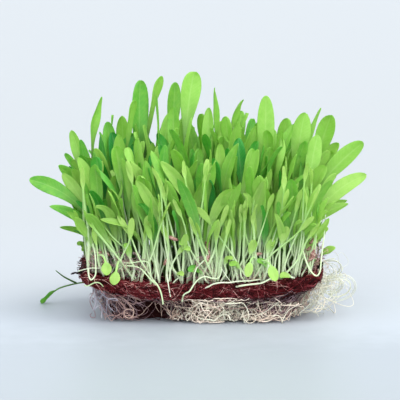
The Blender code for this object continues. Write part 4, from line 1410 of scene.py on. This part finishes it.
def buildRoots():
    look, rng = rootLook, np.random.default_rng(rootLook["seed"])
    levels = np.array(look["coreLevels"])
    turn = np.linspace(0, math.tau, look["coreCorners"], endpoint=False)
    inset = np.where(np.abs(levels) == 1, look["coreEndInset"], 1.0)[:, None] * look["coreInset"]
    u, v = [powered(wave(turn), 2 / look["square"])[None, :] + 0 * inset for wave in (np.cos, np.sin)]
    grid = feltSurface(u, v, levels[:, None], -inset)
    size, high = look["coreLumps"]
    for point in grid.reshape(-1, 3):
        point += outwards(point[0], point[1]) * (noise.noise(Vector(point) / size) * high)
    gridMesh("rootFeltCore", closedPart(grid), rootFeltCore(), ["root_felt"])

    hair = rootHair()
    fading = 1 - look["thinning"] * np.linspace(0, 1, look["points"]) ** 2
    for name, x, z, wide, high, ceiling, count, tone, mixed, radius, out, curl in look["nests"]:
        length = frontLength(np.clip(rng.normal(x, wide, count) * mm, *look["nestsFrom"]))
        height = np.clip(rng.normal(z, high, count), *look["heights"]) * mm
        off = (rng.normal(0.0, 1.0, count) * abs(out) - look["sunk"]) * mm + min(0.0, out) * mm
        line = walkFelt(rng, length, height, off, curl, ceiling * mm, radius < look["thin"])
        radii = radius * mm * rng.uniform(*look["radiusPlay"], (count, 1)) * fading
        # painted light and shade: strands further out from the felt are paler, deeper ones darker
        gain, reach, limits = look["paler"]
        shown = rng.normal(tone, mixed, count) + gain * np.clip(off / reach, *limits) * (out > 0)
        shown = np.clip(shown, 0.0, look["palest"])
        kept = ~inHollow(line) | (rng.random(count) < look["hollowShare"])
        gridMesh("rootNest" + name, [strandPart(line[kept], radii[kept], shown[kept])], hair)

    around = rng.uniform(-look["restPast"], feltFront + look["restPast"], look["restCount"])
    along = rng.uniform(feltFront, feltAround[-1], look["restFrontCount"])
    length = np.concatenate([around, along])
    count, front = len(length), length > feltFront
    height = rng.uniform(*look["heights"], count) * mm
    lowX, lowZ = look["restLow"]
    ceiling = np.where(length > frontLength(lowX), lowZ, 1.0)
    off = rng.normal(*look["restOff"], count) * mm
    line = walkFelt(rng, length, height, off, look["restCurl"], ceiling, False)
    broad, small = look["restPatches"]
    patch = (np.sin(length / broad) + np.sin(length / small + 1.3)) / 2
    back, ahead = look["restTone"]
    shown = back + look["restPatchTone"] * patch + rng.normal(0, look["restPlay"], count)
    shown = np.clip(shown, look["restDarkest"], look["palest"])
    shown = shown - (back - ahead) * front
    radii = np.where(front, look["restRadius"][1], look["restRadius"][0]) * mm
    radii = radii[:, None] * rng.uniform(*look["restRadiusPlay"], (count, 1)) * fading
    leftX, leftShare = look["restLeft"]
    kept = ~inHollow(line) & ((line[:, 0, 0] > leftX) | (rng.random(count) < leftShare))
    gridMesh("rootNestBack", [strandPart(line[kept], radii[kept], shown[kept])], hair)
    return hair


hairMaterial = buildRoots()
print("root felt built")


# Loose roots: a fluffy greenish-white tangle past the mat's right end, with open loops

tuftLook = {
    "seed": 21,
    "count": 62,
    "points": 30,
    "step": 1.3 * mm,
    "radius": 0.17 * mm,
    "radiusPlay": (0.5, 1.5),
    "fading": (1.1, 0.6),
    "curl": 0.12,
    "pull": 0.7,
    "reachPlay": (0.55, 1.1),
    "from": ((0.044, -0.033, 0.002), (0.053, 0.016, 0.017)),
    "middle": (0.0545, -0.008, 0.0115),
    "reach": (0.0150, 0.034, 0.0150),
    "tone": (0.80, 0.05),
    "tones": (0.66, 0.86),
    # the open loops: middle x, y and z, radius and strands, in mm
    "loops": ((62.5, -22.0, 13.6, 6.4, 5), (60.0, -6.0, 20.0, 4.6, 4), (61.5, 9.0, 10.0, 5.0, 4)),
    "loopPoints": 26,
    "loopTurn": 5.2,
    "loopPlay": (0.75, 1.15),
    "loopRadius": 0.22 * mm,
    "loopRadiusPlay": (0.6, 1.1),
    "loopTone": 0.83,
}

# Thin pale roots that hang from the mat's curled left end down to the surface
curtain = {
    "seed": 14,
    "count": 28,
    "points": 24,
    "step": 1.1 * mm,
    "curl": 0.16,
    "pull": 0.6,
    "from": ((-0.0480, -0.0375, 0.0130), (-0.0420, 0.0300, 0.0165)),
    "middle": (-0.0430, -0.006, 0.0085),
    "reach": (0.0055, 0.036, 0.0110),
    "frontShare": 0.6,  # of the strands that start near the front edge
    "frontSpread": 4 * mm,
    "foremost": -0.0395,
    "radius": 0.17 * mm,
    "radiusPlay": (0.6, 1.4),
    "tones": (0.98, 0.22),
    "paleShare": 0.70,
}


freeShare = 0.7  # strands run free up to this share of their reach
newSpin = 0.25  # how much their turning varies, as a share of their curl


def wander(rng, start, heading, look):  # lines that turn steadily and are led back into an egg form
    middle, reach = np.array(look["middle"]), np.array(look["reach"])
    reach = reach * rng.uniform(*look.get("reachPlay", (1.0, 1.0)), (len(start), 1))
    spin = rng.normal(0, look["curl"], start.shape)
    line, place, ahead = [], start, unit(heading)
    for _ in range(look["points"]):
        line.append(place)
        spin = spin + rng.normal(0, look["curl"] * newSpin, start.shape)
        ahead = unit(ahead + np.cross(spin, ahead))
        away = (place - middle) / reach
        far = np.linalg.norm(away, axis=-1, keepdims=True)
        ahead = unit(ahead - unit(away) * np.clip(far - freeShare, 0, 1) * look["pull"])
        place = place + ahead * look["step"]
        place[:, 2] = np.maximum(place[:, 2], rootLook["lowest"])
    return np.stack(line, axis=1)


def startsIn(rng, look):
    return rng.uniform(*[np.array(corner) for corner in look["from"]], (look["count"], 3))


def buildTuft(hair):
    rng, count = np.random.default_rng(tuftLook["seed"]), tuftLook["count"]
    start = startsIn(rng, tuftLook)
    right, back, up = rng.uniform(0.2, 1.2, count), rng.normal(-0.1, 0.7, count), rng.normal(0.0, 0.6, count)
    line = wander(rng, start, np.stack([right, back, up], axis=-1), tuftLook)
    fading = np.linspace(*tuftLook["fading"], tuftLook["points"])
    radius = tuftLook["radius"] * rng.uniform(*tuftLook["radiusPlay"], (count, 1)) * fading
    parts = [strandPart(line, radius, np.clip(rng.normal(*tuftLook["tone"], count), *tuftLook["tones"]))]

    points = tuftLook["loopPoints"]
    for x, y, z, size, strands in tuftLook["loops"]:
        turns = rng.uniform(0, math.tau, (strands, 1)) + np.linspace(0, tuftLook["loopTurn"], points)[None, :]
        wide = size * rng.uniform(*tuftLook["loopPlay"], (strands, 1)) * (1 + 0.12 * np.sin(2 * turns + 1))
        across = x + wide * np.cos(turns)
        back = y + rng.normal(0, 2.0, (strands, 1)) + 1.2 * np.sin(turns * 1.5)
        up = np.maximum(z + wide * 0.95 * np.sin(turns), 0.4)
        radius = tuftLook["loopRadius"] * rng.uniform(*tuftLook["loopRadiusPlay"], (strands, 1))
        radius = radius * np.ones((1, points))
        line = np.stack([across, back, up], axis=-1) * mm
        parts.append(strandPart(line, radius, np.full(strands, tuftLook["loopTone"])))
    gridMesh("looseRoots", parts, hair, ["root_tuft"])


def buildCurtain(hair):
    look, rng, count = curtain, np.random.default_rng(curtain["seed"]), curtain["count"]
    start = startsIn(rng, look)
    front = rng.random(count) < look["frontShare"]
    near = look["from"][0][1] + np.abs(rng.normal(0, look["frontSpread"], count))
    start[:, 1] = np.where(front, near, start[:, 1])
    start[:, 2] = underside(start[:, 0])
    heading = np.stack([rng.normal(0, 0.3, count), rng.normal(0, 0.3, count), np.full(count, -1.0)], axis=-1)
    line = wander(rng, start, heading, look)
    line[..., 1] = np.maximum(line[..., 1], look["foremost"])
    radius = look["radius"] * rng.uniform(*look["radiusPlay"], (count, 1)) * np.ones((1, look["points"]))
    tone = np.where(rng.random(count) < look["paleShare"], *look["tones"])
    gridMesh("rootCurtain", [strandPart(line, radius, tone)], hair)


# Brown fibres tangled among the stalks' feet, and dark twigs that stick out at the mat's ends
footTangles = {
    "seed": 31,
    "points": 18,
    "step": 0.8 * mm,
    "curl": 0.14,
    "pull": 0.45,
    "radius": 0.12 * mm,
    "radiusPlay": (0.6, 1.4),
    "tones": (0.08, 0.42),
    "fill": 0.8,  # the share of a tangle's reach where its fibres start
    # the middle of each tangle and its reach, in mm, and its fibres
    "spots": (
        ((-31, -36.5, 26), (9, 3.0, 6), 44),
        ((-46, -33.5, 27.5), (5, 4.0, 4.5), 36),
        ((1, -37.0, 25), (6, 3.0, 7), 24),
        ((24, -37.0, 22), (10, 2.5, 4), 22),
        ((50, -33.0, 29), (5, 4.0, 7), 34),
        ((0, 34.0, 23), (44, 5.0, 4), 60),
    ),
    # the twigs: both ends in mm, and the radius
    "twigs": (((-52.5, -34, 22.6), (-57.5, -35, 22.0), 0.55), ((52.5, -35, 24.5), (54.6, -35.5, 27.5), 0.80)),
    "twigKinks": (0, 0.3, -0.2, 0.2, 0, -0.2),
    "twigRadii": (1.0, 0.8, 1.0, 0.7, 0.9, 0.4),
}


def buildTangles(hair):
    rng = np.random.default_rng(footTangles["seed"])
    parts = []
    for middle, reach, count in footTangles["spots"]:
        look = {**footTangles, "middle": np.array(middle) * mm, "reach": np.array(reach) * mm}
        start = look["middle"] + rng.uniform(-look["fill"], look["fill"], (count, 3)) * look["reach"]
        line = wander(rng, start, rng.normal(size=(count, 3)), look)
        radius = look["radius"] * rng.uniform(*look["radiusPlay"], (count, 1)) * np.ones((1, look["points"]))
        parts.append(strandPart(line, radius, rng.uniform(*look["tones"], count)))
    gridMesh("footTangles", parts, hair)
    parts = []
    for first, last, radius in footTangles["twigs"]:
        line = np.linspace(first, last, len(footTangles["twigKinks"]))[None] * mm
        line[0, :, 2] += np.array(footTangles["twigKinks"]) * mm
        parts.append(strandPart(line, radius * mm * np.array([footTangles["twigRadii"]]), np.zeros(1), 6))
    gridMesh("coirTwigs", parts, fibreMaterial)


buildTangles(hairMaterial)
buildTuft(hairMaterial)
buildCurtain(hairMaterial)
print("loose roots built")


# The shoot that fell over the left end

fallen = {
    "root": (-0.0440, 0.014, 0.0108),
    "rise": (-0.0620, 0.015, 0.0125),
    "tip": (-0.0765, 0.016, 0.0016),
    "halfWidth": 0.0026,
    "blade": 0.012,
    "face": (0.2, -0.5, 1.0),
    "tone": 0.45,
    "spurFrom": 0.42,
    "spurRoute": ((-0.064, 0.0115, 0.0135), (-0.0675, 0.008, 0.0170)),
    "spurRadius": (0.5 * mm, 0.2 * mm),
    "spurRings": 8,
    "spurPaleness": 0.4,
}


def buildFallenShoot():
    leaf = {**fallen, "keel": leafForm["keel"], "face": Vector(fallen["face"]).normalized()}
    for end in ("root", "rise", "tip"):
        leaf[end] = Vector(fallen[end])
    rings = fallen["spurRings"]
    line = smoothLine([spine(leaf, fallen["spurFrom"]), *fallen["spurRoute"]], rings)
    spur = tubeGrid(line[None], np.linspace(*fallen["spurRadius"], rings)[None], 12)
    parts = [leafParts([leaf], random.Random(2)), plainPart(spur, fallen["spurPaleness"])]
    gridMesh("fallenShoot", parts, leafMaterial, ["fallen_seedling"])


buildFallenShoot()
print("fallen shoot built")


# Thin stalks that loop over the mat's front edge: the radius, how green, and the given route, in mm

looseStalks = (
    (
        0.32, 0.1,
        (-54, -36, 23.2), (-53, -38, 23.9), (-49.5, -41, 25.2), (-47, -42, 25.6), (-43.6, -40, 25.2),
    ),
    (
        0.5, 0.22,
        (-49.3, -41.5, 25.2), (-49, -42.5, 22.3), (-48.1, -43, 20.6), (-46.7, -43, 21.5), (-45.9, -42, 24),
        (-46.3, -40, 31), (-47.5, -38, 36),
    ),
    (
        0.38, 0.4,
        (-51.2, -39, 17.5), (-49.5, -41, 17.5), (-46.5, -41.6, 19), (-44.2, -41.6, 18.8), (-42.8, -40, 17),
    ),
    (
        0.4, 0.3,
        (-36, -37, 25), (-35, -38, 27.4), (-30.8, -39, 27.4), (-25, -40, 28.3), (-22.4, -41, 27),
        (-21.8, -40, 19),
    ),
    (
        0.45, 0.3,
        (-36, -37, 24), (-34, -38.5, 26), (-28.6, -40, 26), (-25.5, -41, 24.6), (-22.4, -42, 21.2),
        (-19.5, -41.5, 18),
    ),
    (
        0.55, 0.35,
        (-22, -39, 18), (-21, -41.4, 20), (-19, -42.4, 18.4), (-17.4, -43, 15.4), (-16.6, -43.2, 12),
        (-16.3, -43.2, 9.6),
    ),
    (
        0.38, 0.05,
        (-14.7, -39, 22.3), (-13.9, -41.5, 17.7), (-13, -42, 12.7),
    ),
    (
        0.48, 0.22,
        (-7.9, -42, 10.8), (-7.1, -42.6, 13.8), (-4.6, -43.2, 15.5), (-2.9, -43, 18.1), (-0.7, -42.4, 20.6),
        (2.1, -42, 21.8), (4.8, -42, 21.2), (7.7, -41, 20.9), (9.2, -40, 23), (9.9, -38, 29),
    ),
    (
        0.45, 0.2,
        (-2.9, -38, 17.5), (-2.6, -41, 22), (-1.3, -41, 25.7), (1.3, -40.5, 28.3), (2.6, -40, 30.1),
        (3.6, -38, 38),
    ),
    (
        0.48, 0.08,
        (2.1, -40.6, 16.4), (3.8, -41.6, 17.3), (6.1, -42.3, 18.6), (9.7, -42.4, 19.2), (13.1, -42.3, 19.2),
        (16.7, -42, 19.7), (22, -41.2, 19.8), (27, -38, 20),
    ),
    (
        0.6, 0.15,
        (16, -40.6, 17), (18.2, -42.4, 17.8), (21.1, -42.7, 18.3), (26.8, -42.8, 19), (30, -42, 20.3),
        (34, -38, 21.6),
    ),
    (
        0.24, 0.0,
        (7, -38, 29.2), (8.8, -40.4, 26.3), (11.7, -42, 22), (13.9, -41.4, 19),
    ),
    (
        0.5, 0.28,
        (45.2, -36, 34), (47.1, -40, 27.7), (49, -41.2, 24), (51.3, -41.6, 22.1), (53, -40.4, 24),
        (53.8, -38, 30.1), (55.2, -34, 40), (56, -31, 50),
    ),
)
looseStalkTaper = (0.74, 0.555)  # the radius's share at a stalk's start and at its end


def buildLooseStalks():
    parts = []
    for radius, green, *route in looseStalks:
        line = smoothLine(route, 8 * len(route)) * mm
        radii = radius * mm * np.linspace(*looseStalkTaper, len(line))
        parts.append(plainPart(tubeGrid(line[None], radii[None], 10), green))
    gridMesh("looseStalks", parts, leafMaterial)


buildLooseStalks()


# More seed leaves low in the bed: the foot's x, the tip's x, y and z, the rise, the half width and the
# blade, all in mm, and the tone

lowSeedLeaves = (
    (-52, -57.0, 2, 30, 3, 1.5, 7, 0.70),
    (-50, -54.0, -6, 28, 4, 1.6, 7, 0.78),
    (-48, -50.5, 4, 31, 3, 1.5, 6, 0.66),
    (-14, -4.5, -42, 33, 6, 1.6, 8, 0.82),
    (-12, -7.6, -43, 22, 4, 1.3, 5, 0.86),
    (4, -5.0, -41, 24, 4, 2.0, 9, 0.40),
    (9, 13.6, -43, 29.5, 3, 1.9, 6, 0.90),
    (20, 13.4, -42, 26.5, 4, 1.7, 7, 0.68),
    (32, 25.4, -41, 28, 3, 1.5, 7, 0.50),
    (41, 36.2, -43, 21, 3, 2.0, 7, 0.86),
    (50, 61.5, -18, 31, 0, 2.0, 8, 0.84),
    (50, 57.5, -24, 40, 2, 1.8, 8, 0.90),
    (44, 52.0, -36, 36, 3, 1.9, 8, 0.88),
    (-30, -33.0, -40, 34, 4, 2.0, 7, 0.72),
    (28, 33.0, -40, 36, 5, 2.2, 8, 0.80),
    (-26, -22.0, -42, 49, -9, 1.9, 9, 0.82),
    (-18, -23.5, -43, 45, -7, 1.6, 8, 0.74),
    (-8, -6.5, -43, 41, -8, 1.8, 8, 0.84),
    (-2, -9.0, -42, 36, 4, 1.6, 8, 0.78),
    (17, 11.5, -42, 47, -8, 1.7, 9, 0.86),
    (20, 24.0, -43, 38, -4, 1.9, 8, 0.90),
    (33, 38.5, -42, 44, -6, 1.9, 9, 0.90),
    (-34, -43.5, -38, 42, -5, 1.8, 8, 0.80),
)
lowSeedForm = {"rootBack": 3 * mm, "foremostRoot": -0.037, "face": (0.15, -0.8, 0.75)}


def buildLowSeedLeaves():
    leaves = []
    for foot, x, y, z, rise, width, blade, tone in lowSeedLeaves:
        tip = Vector((x, y, z)) * mm
        rootY = max(lowSeedForm["foremostRoot"], y * mm + lowSeedForm["rootBack"])
        root = Vector((foot * mm, rootY, matTop(foot * mm)))
        middle = (root + tip) / 2
        middle.z = max(root.z, tip.z) + rise * mm
        leaf = {"root": root, "rise": middle, "tip": tip, "halfWidth": width * mm, "blade": blade * mm}
        face = Vector(lowSeedForm["face"]).normalized()
        leaves.append({**leaf, "keel": seedForm["keel"], "face": face, "tone": tone})
    gridMesh("lowSeedLeaves", [leafParts(leaves, random.Random(6))], leafMaterial)


buildLowSeedLeaves()
print("loose stalks and seed leaves built")


# Seed hull: dry papery husk of a sprouted seed, brown with paler streaks

hullLook = {
    # where each hull is caught, in mm, and how far it is tilted
    "places": (
        (-47, -34, 30, 35), (-42.7, -33, 31, -40), (-20.7, -30, 46, 15), (-11.9, -38, 38, -20),
        (3.6, -38, 35.5, 80), (2.6, -39.5, 30.5, 75), (4.4, -38, 33.5, 110), (2.4, -38, 36.5, 150),
        (47.2, -38, 30.5, 48), (49.0, -37, 33.5, 62), (50.8, -36, 35.5, 48), (48.6, -37, 31.5, 58),
        (51.8, -35, 33.0, 40), (24, -38, 31, 10), (-15.5, -38, 28, 60),
    ),
    "length": 5.4 * mm,
    "radius": 0.85 * mm,
    "bow": 0.9 * mm,
    "forward": -0.25,
    "rings": 9,
    "brown": ((0.0, "#4E2C26"), (0.5, "#936A5E"), (1.0, "#D0B2A6")),
    "streaks": 0.9 * mm,
    "streakRange": (0.3, 0.7),
    "finish": {"roughness": 0.6, "specular": 0.3, "bump": 0.1 * mm, "bumpStrength": 0.8},
}


def driedHull():
    made, tree = newMaterial("driedSeedHull")
    streaks = blobs(tree, hullLook["streaks"], 4.0)
    low, high = hullLook["streakRange"]
    share = addNode(tree, "ShaderNodeMapRange", {0: streaks, 1: low, 2: high, 3: 0.0, 4: 1.0})
    colour = addNode(tree, "ShaderNodeValToRGB", {0: share}, stops=hullLook["brown"])
    return finishMaterial(made, tree, colour, hullLook["finish"], streaks)


def nearestStalk(target):  # the point on a stalk that a caught hull clings to
    found = [spine(leaf, s / 20) for leaves in growth.leaves for leaf in leaves for s in range(2, 12)]
    return min(found, key=lambda point: (point - target).length)


def buildHulls():
    parts = []
    shares = np.linspace(-1, 1, hullLook["rings"])
    for x, y, z, tilt in hullLook["places"]:
        at = nearestStalk(Vector((x, y, z)) * mm)
        tilt = math.radians(tilt)
        axis = Vector((math.cos(tilt), hullLook["forward"], math.sin(tilt))).normalized()
        bow = axis.cross(axis.cross(Vector((0, -1, 0))).normalized()) * hullLook["bow"]
        line = [at + axis * (share * hullLook["length"] / 2) + bow * share**2 for share in shares]
        radii = hullLook["radius"] * np.sqrt(1.02 - shares**2)
        parts.append(strandPart(np.array(line)[None], radii[None], np.ones(1), 10))
    gridMesh("seedHulls", parts, driedHull())


buildHulls()
print("seed hulls built")
